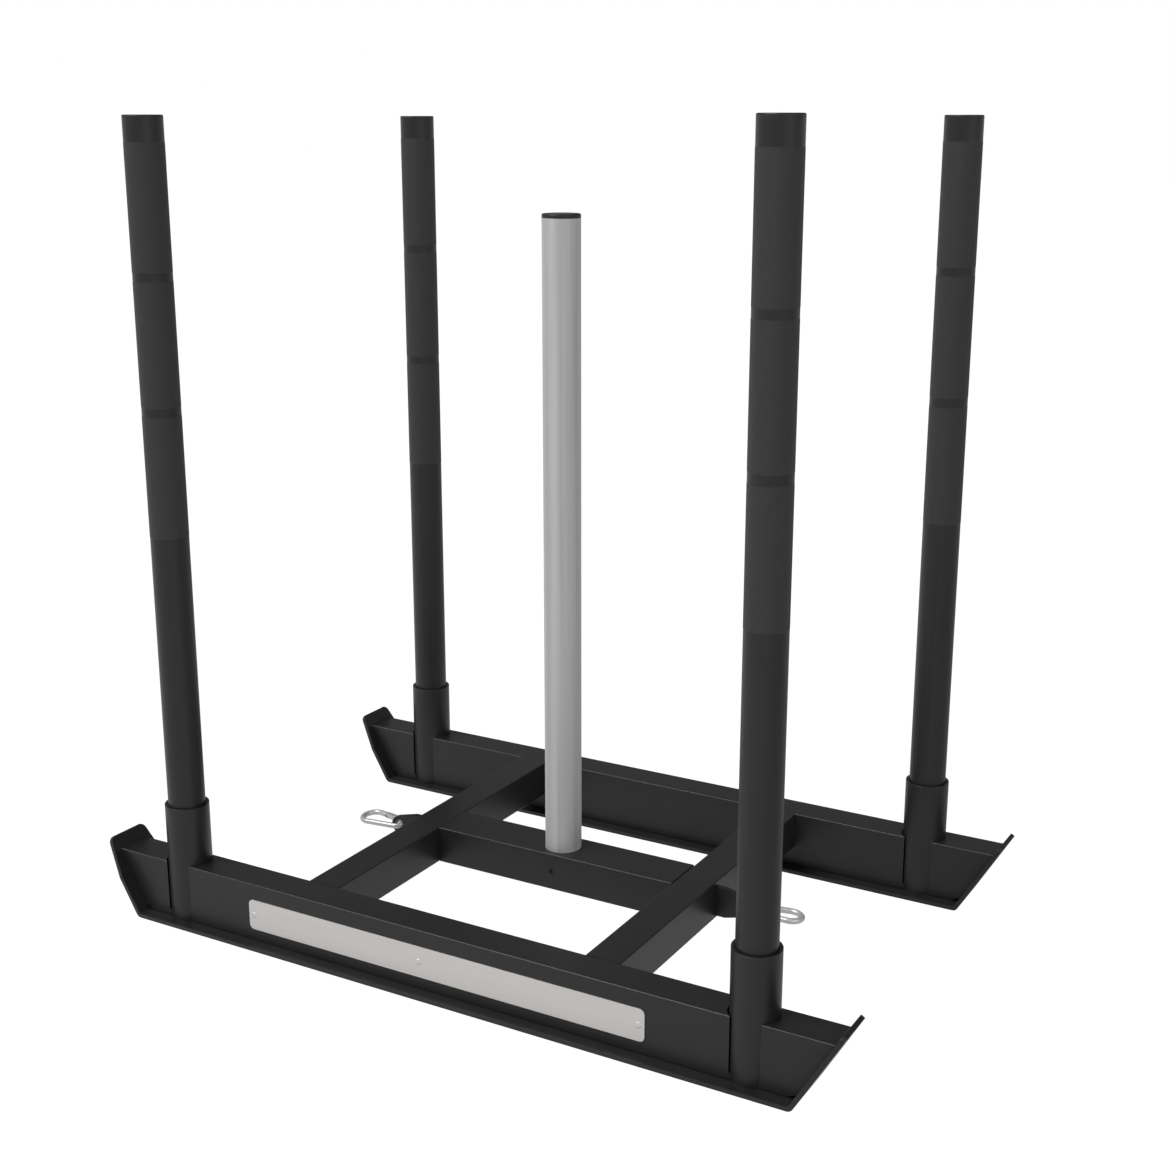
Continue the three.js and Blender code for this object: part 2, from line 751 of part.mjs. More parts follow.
// A push pole: a tube with a cap at the top and a foot plug that stands on the base plate
function poleGroup(place) {
  const pole = new THREE.Group();
  const low = skiThickness + polePlugHead;
  const high = poleTopHeight - poleCapHead;
  const boreRadius = poleRadius - poleWall;
  const stemRadius = boreRadius - plugClearance;
  const tube = roundTube(poleRadius, boreRadius, low, high, endChamfer / 2);
  const cap = pushInPlug(poleRadius, stemRadius, plugStem, poleCapHead, poleCapEdge);
  const foot = pushInPlug(poleRadius - endChamfer / 2, stemRadius, plugStem, polePlugHead, endChamfer);
  foot.rotateX(Math.PI);
  pole.add(piece(`pole_${place}`, tube, blackPowderCoat));
  pole.add(pieceAt(`pole_cap_${place}`, cap, blackPlastic, 0, 0, high));
  pole.add(pieceAt(`pole_foot_${place}`, foot, blackPlastic, 0, 0, low));
  return pole;
}

// The weight post stands on the floor of the centre beam and is held by the set screw
function postGroup() {
  const post = new THREE.Group();
  const boreRadius = postRadius - postWall;
  const tube = roundTube(postRadius, boreRadius, beamFloorHeight, postTubeTopHeight, endChamfer / 2);
  const cap = pushInPlug(postRadius, boreRadius - plugClearance, plugStem, postCapHead, postCapEdge);
  post.add(piece("centre_beam", centreBeamGeometry(), blackPowderCoat));
  post.add(piece("weight_post", tube, greyZinc));
  post.add(pieceAt("post_cap", cap, blackPlastic, 0, 0, postTubeTopHeight));
  const screw = piece("post_set_screw", setScrewGeometry(), darkSteel);
  screw.position.set(0, -postRadius - weldGap, topHeight - screwDrop);
  post.add(screw);
  return post;
}

function namePlateGroup() {
  const group = new THREE.Group();
  group.add(pieceAt("name_plate", namePlateGeometry(), brushedSteel, 0, -namePlateThickness / 2, 0));
  ["left", "middle", "right"].forEach((place, index) => {
    const x = rivetPlaces[index];
    group.add(pieceAt(`plate_rivet_${place}`, rivetGeometry(), brushedSteel, x, -namePlateThickness, 0));
  });
  group.position.set(namePlateShift, namePlateFace, namePlateHeightAt);
  return group;
}

const pushSled = new THREE.Group();
pushSled.add(runnerGroup("near"), runnerGroup("far"));
pushSled.add(endGroup("left"), endGroup("right"));
pushSled.add(postGroup(), namePlateGroup());

export default pushSled;
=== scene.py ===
"""Push sled: its finishes and fine surfaces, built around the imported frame.

X runs along the runners, Y across them and Z up, in metres, with the ground at Z = 0. Every finished object
sits at the origin, because its place is in its mesh.
"""

import json
import logging
import math
from dataclasses import dataclass, field
from enum import Enum
from typing import Callable, Sequence

import bmesh
import bpy
from mathutils import Matrix, Vector


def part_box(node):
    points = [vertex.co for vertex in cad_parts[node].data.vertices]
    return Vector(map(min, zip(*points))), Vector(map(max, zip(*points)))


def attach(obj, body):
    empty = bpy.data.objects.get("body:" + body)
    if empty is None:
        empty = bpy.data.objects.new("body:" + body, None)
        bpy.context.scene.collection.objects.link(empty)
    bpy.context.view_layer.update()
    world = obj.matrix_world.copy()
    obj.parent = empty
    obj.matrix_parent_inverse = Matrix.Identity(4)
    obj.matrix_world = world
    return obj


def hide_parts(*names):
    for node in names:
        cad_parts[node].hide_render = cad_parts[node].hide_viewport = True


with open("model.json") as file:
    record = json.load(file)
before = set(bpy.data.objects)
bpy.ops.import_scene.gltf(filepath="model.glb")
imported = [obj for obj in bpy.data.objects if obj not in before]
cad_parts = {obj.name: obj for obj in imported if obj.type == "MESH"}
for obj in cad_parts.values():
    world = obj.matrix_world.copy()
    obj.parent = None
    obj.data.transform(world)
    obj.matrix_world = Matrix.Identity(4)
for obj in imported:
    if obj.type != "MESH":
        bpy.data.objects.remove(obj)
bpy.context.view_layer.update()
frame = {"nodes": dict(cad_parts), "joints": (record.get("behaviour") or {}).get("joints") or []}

log = logging.getLogger("push_sled")

# A profile is pairs of radius and height, and a test takes a point and a direction
Profile = Sequence[tuple[float, float]]
Test = Callable[[Vector, Vector], bool]

MM = 0.001

# Points nearer than the first are merged, and lengths that differ by less than the second count as equal
WELD = 0.001 * MM
NEAR = 0.01 * MM

# A unit direction whose part along an axis is more than this runs along it
SQUARE = 0.9

# In degrees: edges that turn by more than the first are rounded, and those below the second look smooth
SHARP_TURN = 35
SMOOTH_TURN = 40

# The strongest lean of the shading towards large faces, which keeps flats flat
FLATS_FIRST = 100

# The middle of a noise's range, which it seldom leaves
NOISE_LOW = 0.3
NOISE_HIGH = 0.7

# How far the ends of the base plates are bent up, which the ends of the rails follow
UPTURN_ANGLE = math.radians(60)

# The body that every fixed piece rides on, and the slot of every coated one
FRAME_BODY = "sled_frame"
COAT_SLOT = "black_powder_coat"


# Modelling helpers


class Part(Enum):
    """What a selection in edit mode is made of."""

    VERTS = "VERT"
    EDGES = "EDGE"
    FACES = "FACE"


class Roundness:
    """How many sides and steps the round shapes have."""

    TUBE = 96
    SMALL = 48
    WIRE = 32
    HEXAGON = 6
    BEND = 10
    POST_CAP_EDGE = 8
    POLE_CAP_EDGE = 6
    CORNER = 4
    GATE_EDGE = 3
    EDGE = 2


def deselect() -> None:
    """Deselects every object, because the loaded nodes are selected."""
    bpy.ops.object.select_all(action="DESELECT")


def use(piece: bpy.types.Object) -> None:
    """Makes one piece the only selected and the active one.

    Args:
        piece: The object that the next operators act on.
    """
    deselect()
    piece.select_set(True)
    bpy.context.view_layer.objects.active = piece


def edit(piece: bpy.types.Object) -> None:
    """Opens a piece in edit mode with nothing selected.

    Args:
        piece: The object to edit.
    """
    use(piece)
    bpy.ops.object.mode_set(mode="EDIT")
    bpy.ops.mesh.select_all(action="DESELECT")


def done() -> None:
    """Leaves edit mode."""
    bpy.ops.object.mode_set(mode="OBJECT")


def pick(part: Part, test: Test) -> None:
    """Selects, in edit mode, the parts of the mesh that pass a test.

    Args:
        part: Whether vertices, edges or faces are selected.
        test: Called with a middle point and a direction, which is a normal or an edge's own direction.
    """
    bpy.ops.mesh.select_mode(type=part.value)
    bpy.ops.mesh.select_all(action="DESELECT")
    data = bpy.context.edit_object.data
    mesh = bmesh.from_edit_mesh(data)
    if part is Part.VERTS:
        for vert in mesh.verts:
            vert.select_set(test(vert.co, vert.normal))
    elif part is Part.EDGES:
        for edge in mesh.edges:
            first, last = (vert.co for vert in edge.verts)
            edge.select_set(test((first + last) / 2, (last - first).normalized()))
    else:
        for face in mesh.faces:
            face.select_set(test(face.calc_center_median(), face.normal))
    mesh.select_flush_mode()
    bmesh.update_edit_mesh(data)


def close(value: float, wanted: float) -> bool:
    """Whether two lengths agree to a hundredth of a millimetre."""
    return abs(value - wanted) < NEAR


def weld() -> None:
    """Merges all points that lie together, in edit mode."""
    bpy.ops.mesh.select_all(action="SELECT")
    bpy.ops.mesh.remove_doubles(threshold=WELD)


def close_ends() -> None:
    """Welds a swept wall, fills its ends if they are open, and turns its faces outwards, in edit mode."""
    weld()
    bpy.ops.mesh.fill_holes(sides=0)
    bpy.ops.mesh.select_all(action="SELECT")
    bpy.ops.mesh.normals_make_consistent(inside=False)


def begun(name: str) -> bpy.types.Object:
    """Names the primitive that was just added and puts its place into its mesh.

    Args:
        name: The piece's name.

    Returns:
        The new object, at the origin.
    """
    piece = bpy.context.active_object
    piece.name = name
    piece.data.name = name
    bpy.ops.object.transform_apply(location=True, rotation=True, scale=True)
    return piece


def new_block(name: str, low: Vector, high: Vector) -> bpy.types.Object:
    """Adds a block between two corners, as a start for shaping.

    Args:
        name: The piece's name.
        low: Lowest corner.
        high: Highest corner.

    Returns:
        The new object.
    """
    deselect()
    bpy.ops.mesh.primitive_cube_add(size=1, location=(low + high) / 2, scale=high - low)
    return begun(name)


def new_bar(name: str, radius: float, start: Vector, end: Vector, sides: int) -> bpy.types.Object:
    """Adds a round bar between two points, as a start for shaping or as a cutter.

    Args:
        name: The piece's name.
        radius: The bar's radius.
        start: Middle of one end.
        end: Middle of the other end.
        sides: How many sides it has.

    Returns:
        The new object.
    """
    way = end - start
    turn = way.to_track_quat("Z", "Y").to_euler()
    deselect()
    bpy.ops.mesh.primitive_cylinder_add(
        vertices=sides, radius=radius, depth=way.length, location=(start + end) / 2, rotation=turn
    )
    return begun(name)


def apply_modifier(piece: bpy.types.Object, kind: str, **settings: object) -> None:
    """Adds a modifier to a piece and applies it.

    Args:
        piece: The piece to change.
        kind: Blender's name for the modifier's type.
        **settings: Values for the modifier's properties.
    """
    use(piece)
    modifier = piece.modifiers.new(kind.lower(), kind)
    for key, value in settings.items():
        setattr(modifier, key, value)
    bpy.ops.object.modifier_apply(modifier=modifier.name)


def combine(piece: bpy.types.Object, tool: bpy.types.Object, operation: str) -> None:
    """Cuts a piece with a tool, or joins them, and removes the tool.

    Args:
        piece: The piece that stays.
        tool: The piece that goes.
        operation: DIFFERENCE or UNION.
    """
    apply_modifier(piece, "BOOLEAN", operation=operation, object=tool, solver="EXACT")
    bpy.data.objects.remove(tool)


def soften(
    piece: bpy.types.Object, width: float, segments: int = Roundness.EDGE, limit: float = SHARP_TURN
) -> None:
    """Rounds the sharp edges of a piece a little, as paint or a file does.

    Args:
        piece: The piece to round.
        width: The width of the rounding.
        segments: Steps across the rounding.
        limit: Edges that turn by more than these degrees are rounded.
    """
    apply_modifier(
        piece,
        "BEVEL",
        width=width,
        segments=segments,
        limit_method="ANGLE",
        angle_limit=math.radians(limit),
        use_clamp_overlap=True,
    )


def finish_surface(piece: bpy.types.Object) -> None:
    """Shades a finished piece smooth on its rounds and flat on its flats.

    Args:
        piece: The finished piece.
    """
    use(piece)
    bpy.ops.object.shade_smooth_by_angle(angle=math.radians(SMOOTH_TURN))
    apply_modifier(piece, "WEIGHTED_NORMAL", keep_sharp=True, weight=FLATS_FIRST)


def set_place(piece: bpy.types.Object, place: Matrix) -> None:
    """Moves a piece that was shaped at the origin to its place, in its mesh.

    Args:
        piece: The piece.
        place: Where its own axes lie in the sled's frame.
    """
    use(piece)
    piece.matrix_world = place
    bpy.context.view_layer.update()
    bpy.ops.object.transform_apply(location=True, rotation=True, scale=True)


def copy_of(piece: bpy.types.Object, name: str, place: Matrix) -> bpy.types.Object:
    """Copies a piece, with a mesh of its own, to another place.

    Args:
        piece: The piece to copy.
        name: The copy's name.
        place: How the copy is moved.

    Returns:
        The copy.
    """
    other = piece.copy()
    other.data = piece.data.copy()
    other.name = name
    other.data.name = name
    bpy.context.scene.collection.objects.link(other)
    set_place(other, place)
    return other


def shift_between(first: str, other: str) -> Matrix:
    """How a node lies from another node of the same shape.

    Args:
        first: The node whose piece is modelled.
        other: The node whose piece is a copy.

    Returns:
        The shift from the first to the other.
    """
    low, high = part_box(first)
    other_low, other_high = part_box(other)
    return Matrix.Translation((other_low + other_high - low - high) / 2)


def turned(name: str, profile: Profile, sides: int = Roundness.TUBE) -> bpy.types.Object:
    """Turns a profile round the Z axis, ring by ring.

    Args:
        name: The piece's name.
        profile: Pairs of radius and height. If the last pair is the first one the profile closes on itself,
            and otherwise both ends are filled.
        sides: How many sides the round has.

    Returns:
        The new object, on the Z axis.
    """
    radius, height = profile[0]
    deselect()
    bpy.ops.mesh.primitive_circle_add(vertices=sides, radius=radius, location=(0, 0, height))
    piece = begun(name)
    edit(piece)
    bpy.ops.mesh.select_mode(type=Part.EDGES.value)
    bpy.ops.mesh.select_all(action="SELECT")
    for next_radius, next_height in profile[1:]:
        rise = (0, 0, next_height - height)
        bpy.ops.mesh.extrude_region_move(TRANSFORM_OT_translate={"value": rise})
        share = next_radius / radius
        bpy.ops.transform.resize(value=(share, share, 1), center_override=(0, 0, next_height))
        radius, height = next_radius, next_height
    close_ends()
    done()
    return piece


def rounding(radius: float, height: float, edge: float, steps: int) -> list[tuple[float, float]]:
    """The profile of a rounded upper edge, from the side to the top.

    Args:
        radius: The outer radius below the edge.
        height: The height of the top.
        edge: The edge's own radius.
        steps: Steps along the edge.

    Returns:
        Pairs of radius and height.
    """
    angles = [step / steps * math.pi / 2 for step in range(steps + 1)]
    return [
        (radius - edge + edge * math.cos(angle), height - edge + edge * math.sin(angle)) for angle in angles
    ]


def stand_at(piece: bpy.types.Object, middle: Vector) -> None:
    """Moves a piece that was turned on the Z axis to its own upright axis.

    Args:
        piece: The turned piece.
        middle: A point on its axis.
    """
    set_place(piece, Matrix.Translation((middle.x, middle.y, 0)))


def wrap_around(piece: bpy.types.Object, centre: Vector, radius: float) -> None:
    """Gives a turned piece a UV map in metres: round the tube in U, and its height in V.

    Args:
        piece: The turned piece, in place.
        centre: A point on its axis, which stands upright.
        radius: The radius at which U is measured.
    """
    layer = piece.data.uv_layers.new(name="around")
    for polygon in piece.data.polygons:
        middle = polygon.center - centre
        facing = math.atan2(middle.y, middle.x)
        for loop in polygon.loop_indices:
            corner = piece.data.vertices[piece.data.loops[loop].vertex_index].co - centre
            angle = math.atan2(corner.y, corner.x)
            angle += 2 * math.pi * round((facing - angle) / (2 * math.pi))
            layer.data[loop].uv = (angle * radius, corner.z)


def dress(piece: bpy.types.Object, *materials: bpy.types.Material) -> None:
    """Gives a piece its materials in order.

    Args:
        piece: The piece.
        *materials: The material of each slot.
    """
    piece.data.materials.clear()
    for material in materials:
        piece.data.materials.append(material)


def settle(piece: bpy.types.Object, body: str, slot: str, *nodes: str) -> None:
    """Lets a finished piece ride on its body in place of the nodes it stands for.

    Args:
        piece: The finished piece.
        body: The body it moves with.
        slot: The record's material slot; not used.
        *nodes: The nodes that it replaces.
    """
    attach(piece, body)
    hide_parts(*nodes)
    log.info("%s: %d faces, rides on %s", piece.name, len(piece.data.polygons), body)


def keep_solid(node: str, material: bpy.types.Material) -> None:
    """Gives an inner node, whose solid stays as it is, its own finish.

    Args:
        node: The node.
        material: Its finish.
    """
    dress(frame["nodes"][node], material)
    log.info("%s: stays as the solid", node)


# Finishes


def linear(code: str) -> tuple[float, float, float, float]:
    """Turns an sRGB hex colour into linear values, by the curve and the numbers of the sRGB standard.

    Args:
        code: Six hex digits.

    Returns:
        Red, green, blue and full opacity.
    """
    values = [int(code[at : at + 2], 16) / 255 for at in (0, 2, 4)]
    red, green, blue = (v / 12.92 if v <= 0.04045 else ((v + 0.055) / 1.055) ** 2.4 for v in values)
    return red, green, blue, 1.0


def add_node(
    tree: bpy.types.NodeTree, kind: str, settings: dict | None = None, **inputs: object
) -> bpy.types.Node:
    """Adds one node to a material's tree, sets it up and links it.

    Args:
        tree: The material's node tree.
        kind: The node's type name without its ShaderNode prefix.
        settings: Values for the node's own properties.
        **inputs: For each input, named with _ for a space, a value or the output socket that feeds it. An
            input named in_0, in_1 and so on is found by its number.

    Returns:
        The new node.
    """
    node = tree.nodes.new("ShaderNode" + kind)
    for key, value in (settings or {}).items():
        setattr(node, key, value)
    for key, value in inputs.items():
        socket = node.inputs[int(key[3:])] if key.startswith("in_") else node.inputs[key.replace("_", " ")]
        if isinstance(value, bpy.types.NodeSocket):
            tree.links.new(value, socket)
        else:
            socket.default_value = value
    return node


def new_material(name: str) -> tuple[bpy.types.Material, bpy.types.NodeTree]:
    """Makes a material with an empty node tree.

    Args:
        name: The material's name.

    Returns:
        The material and its tree.
    """
    material = bpy.data.materials.new(name)
    material.use_nodes = True
    material.node_tree.nodes.clear()
    return material, material.node_tree


def grain(
    tree: bpy.types.NodeTree, source: bpy.types.NodeSocket, sizes: Vector, detail: float
) -> bpy.types.NodeSocket:
    """Noise whose patches have a real size along each axis.

    Args:
        tree: The material's node tree.
        source: The coordinates to read.
        sizes: Patch size along X, Y and Z in metres.
        detail: How many finer layers the noise has.

    Returns:
        The noise, from 0 to 1.
    """
    scale = (1 / sizes.x, 1 / sizes.y, 1 / sizes.z)
    mapping = add_node(tree, "Mapping", Vector=source, Scale=scale)
    return add_node(tree, "TexNoise", in_0=mapping.outputs[0], Scale=1.0, Detail=detail).outputs["Fac"]


def spread(
    tree: bpy.types.NodeTree, source: bpy.types.NodeSocket, low: float, high: float
) -> bpy.types.NodeSocket:
    """Spreads a noise's middle range over a range of values.

    Args:
        tree: The material's node tree.
        source: The noise.
        low: The value of its dark patches.
        high: The value of its light patches.

    Returns:
        The new values.
    """
    settings = {"clamp": True}
    inputs = {"From_Min": NOISE_LOW, "From_Max": NOISE_HIGH, "To_Min": low, "To_Max": high}
    return add_node(tree, "MapRange", settings, Value=source, **inputs).outputs[0]


def between(
    tree: bpy.types.NodeTree, share: bpy.types.NodeSocket, dark: str, light: str
) -> bpy.types.NodeSocket:
    """Mixes two colours by a share.

    Args:
        tree: The material's node tree.
        share: 0 gives the first colour and 1 the second.
        dark: sRGB hex of the first colour.
        light: sRGB hex of the second colour.

    Returns:
        The mixed colour.
    """
    mix = add_node(tree, "Mix", {"data_type": "RGBA"}, Factor=share)
    first, second = (socket for socket in mix.inputs if socket.type == "RGBA")
    first.default_value = linear(dark)
    second.default_value = linear(light)
    return next(socket for socket in mix.outputs if socket.type == "RGBA")


@dataclass(frozen=True)
class PowderCoat:
    """Satin black polyester powder coat, baked on steel: a faint orange peel and an even, dull gloss."""

    dark: str = "161616"
    light: str = "191919"
    peel: float = 1.2 * MM
    peel_layers: int = 1
    cloud: float = 90 * MM
    cloud_layers: int = 2
    depth: float = 0.02 * MM
    relief: float = 0.25
    dull: float = 0.44
    glossy: float = 0.36
    gloss_level: float = 0.38

    def material(self) -> bpy.types.Material:
        """Builds the material.

        Returns:
            The material.
        """
        material, tree = new_material("satin_black_powder_coat")
        place = add_node(tree, "TexCoord").outputs["Object"]
        clouds = grain(tree, place, Vector((self.cloud, self.cloud, self.cloud)), self.cloud_layers)
        peel = grain(tree, place, Vector((self.peel, self.peel, self.peel)), self.peel_layers)
        bump = add_node(tree, "Bump", Strength=self.relief, Distance=self.depth, Height=peel)
        shader = add_node(
            tree,
            "BsdfPrincipled",
            Base_Color=between(tree, spread(tree, clouds, 0, 1), self.dark, self.light),
            Roughness=spread(tree, peel, self.glossy, self.dull),
            Specular_IOR_Level=self.gloss_level,
            Normal=bump.outputs[0],
        )
        add_node(tree, "OutputMaterial", Surface=shader.outputs[0])
        return material


@dataclass(frozen=True)
class KnurledCoat:
    """Black coat over a rolled diamond knurl: painted highlight on the crests, which look lighter than the
    plain tube beside them, and painted shade in the grooves.
    """

    # The same black coat throughout: groove is painted shade and crest is painted highlight
    groove: str = "1c1c1c"
    crest: str = "343434"
    # Round a 50 mm tube these lie 1.2 mm apart: a coarse knurl, and about the finest that the camera shows
    grooves_around: int = 90
    # A crest is half a pitch from its grooves. Up to the first height all is groove, and from the next crest.
    half_pitch: float = 0.5
    groove_height: float = 0.05
    crest_height: float = 0.3
    depth: float = 0.25 * MM
    relief: float = 0.6
    roughness: float = 0.55
    gloss_level: float = 0.35

    def material(self, radius: float) -> bpy.types.Material:
        """Builds the material.

        Args:
            radius: The knurled tube's radius, round which the grooves fit a whole number of times.

        Returns:
            The material.
        """
        material, tree = new_material("knurled_black_coat")
        pitch = 2 * math.pi * radius / self.grooves_around
        around = add_node(tree, "UVMap", {"uv_map": "around"}).outputs[0]
        mapped = add_node(tree, "Mapping", Vector=around, Scale=(1 / pitch, 1 / pitch, 1)).outputs[0]
        split = add_node(tree, "SeparateXYZ", Vector=mapped)
        along, up = split.outputs[0], split.outputs[1]
        waves = []
        for operation in ("ADD", "SUBTRACT"):
            slant = add_node(tree, "Math", {"operation": operation}, in_0=along, in_1=up).outputs[0]
            wave = add_node(tree, "Math", {"operation": "PINGPONG"}, in_0=slant, in_1=self.half_pitch)
            waves.append(wave.outputs[0])
        height = add_node(tree, "Math", {"operation": "MINIMUM"}, in_0=waves[0], in_1=waves[1]).outputs[0]
        heights = {"From_Min": self.groove_height, "From_Max": self.crest_height}
        lit = add_node(tree, "MapRange", Value=height, **heights).outputs[0]
        bump = add_node(tree, "Bump", Strength=self.relief, Distance=self.depth, Height=lit)
        shader = add_node(
            tree,
            "BsdfPrincipled",
            # The base colour runs from painted shade in the grooves to painted highlight on the crests
            Base_Color=between(tree, lit, self.groove, self.crest),
            Roughness=self.roughness,
            Specular_IOR_Level=self.gloss_level,
            Normal=bump.outputs[0],
        )
        add_node(tree, "OutputMaterial", Surface=shader.outputs[0])
        return material


@dataclass(frozen=True)
class MouldedPlastic:
    """Black polyethylene as it leaves the mould: fine spark texture, a little duller than the coat."""

    dark: str = "1a1a1a"
    light: str = "202020"
    # The real texture is about 0.1 mm, too fine to show, so it is drawn coarser
    spark: float = 0.5 * MM
    spark_layers: int = 2
    depth: float = 0.02 * MM
    relief: float = 0.3
    roughness: float = 0.45
    uneven: float = 0.05
    gloss_level: float = 0.35

    def material(self) -> bpy.types.Material:
        """Builds the material.

        Returns:
            The material.
        """
        material, tree = new_material("moulded_black_polyethylene")
        place = add_node(tree, "TexCoord").outputs["Object"]
        texture = grain(tree, place, Vector((self.spark, self.spark, self.spark)), self.spark_layers)
        bump = add_node(tree, "Bump", Strength=self.relief, Distance=self.depth, Height=texture)
        shader = add_node(
            tree,
            "BsdfPrincipled",
            Base_Color=between(tree, texture, self.dark, self.light),
            Roughness=spread(tree, texture, self.roughness - self.uneven, self.roughness + self.uneven),
            Specular_IOR_Level=self.gloss_level,
            Normal=bump.outputs[0],
        )
        add_node(tree, "OutputMaterial", Surface=shader.outputs[0])
        return material


class Lay(Enum):
    """The axis, by its number, that the marks of drawing or brushing follow, or none."""

    UP = 2
    ALONG = 0
    NONE = -1


@dataclass(frozen=True)
class PlatedSteel:
    """Plated, brushed or blackened steel: metal whose marks follow the way it was drawn or brushed."""

    name: str
    dark: str
    light: str
    roughness: float
    metallic: float = 1.0
    lay: Lay = Lay.NONE
    mark_width: float = 0.8 * MM
    mark_length: float = 150 * MM
    mark_layers: int = 3
    depth: float = 0.01 * MM
    relief: float = 0.2
    uneven: float = 0.06

    def mark_sizes(self) -> Vector:
        """Works out the size of a mark.

        Returns:
            Its size along each axis.
        """
        sizes = Vector((self.mark_width, self.mark_width, self.mark_width))
        if self.lay is not Lay.NONE:
            sizes[self.lay.value] = self.mark_length
        return sizes

    def material(self) -> bpy.types.Material:
        """Builds the material.

        Returns:
            The material.
        """
        material, tree = new_material(self.name)
        place = add_node(tree, "TexCoord").outputs["Object"]
        marks = grain(tree, place, self.mark_sizes(), self.mark_layers)
        bump = add_node(tree, "Bump", Strength=self.relief, Distance=self.depth, Height=marks)
        shader = add_node(
            tree,
            "BsdfPrincipled",
            Base_Color=between(tree, spread(tree, marks, 0, 1), self.dark, self.light),
            Metallic=self.metallic,
            Roughness=spread(tree, marks, self.roughness - self.uneven, self.roughness + self.uneven),
            Normal=bump.outputs[0],
        )
        add_node(tree, "OutputMaterial", Surface=shader.outputs[0])
        return material


# Dull zinc on a drawn tube: a matt light grey, with faint and broad streaks that run up the post
GREY_ZINC = PlatedSteel(
    "satin_grey_zinc_plate",
    "b6b6b6",
    "cacaca",
    0.75,
    metallic=0.9,
    lay=Lay.UP,
    mark_width=7 * MM,
    mark_length=600 * MM,
)

# Bright zinc on bent wire: pale and half glossy, with soft spots that hardly show
BRIGHT_ZINC = PlatedSteel(
    "bright_zinc_plate", "b4b4b4", "bababa", 0.36, metallic=0.5, mark_width=2 * MM, uneven=0.03
)

# Steel brushed along its length: a pale sheen of level lines. Real ones are about 0.1 mm wide, too fine to
# show, so they are drawn coarser.
BRUSHED_STEEL = PlatedSteel(
    "brushed_steel_plate", "bfbcba", "cbc8c6", 0.45, metallic=0.6, lay=Lay.ALONG, mark_width=0.5 * MM
)

# Black oxide on a machined screw: nearly black, with a metal's dull shine
BLACK_OXIDE = PlatedSteel("black_oxide_steel", "1c1c1c", "242424", 0.45, metallic=0.6)


@dataclass
class Finishes:
    """Every finish on the sled but the knurl's, each made once."""

    coat: bpy.types.Material = field(default_factory=PowderCoat().material)
    plastic: bpy.types.Material = field(default_factory=MouldedPlastic().material)
    grey_zinc: bpy.types.Material = field(default_factory=GREY_ZINC.material)
    bright_zinc: bpy.types.Material = field(default_factory=BRIGHT_ZINC.material)
    brushed: bpy.types.Material = field(default_factory=BRUSHED_STEEL.material)
    black_oxide: bpy.types.Material = field(default_factory=BLACK_OXIDE.material)


# Sub-assemblies

SIDES = ("near", "far")
ENDS = ("left", "right")
PLACES = tuple(f"{side}_{end}" for side in SIDES for end in ENDS)


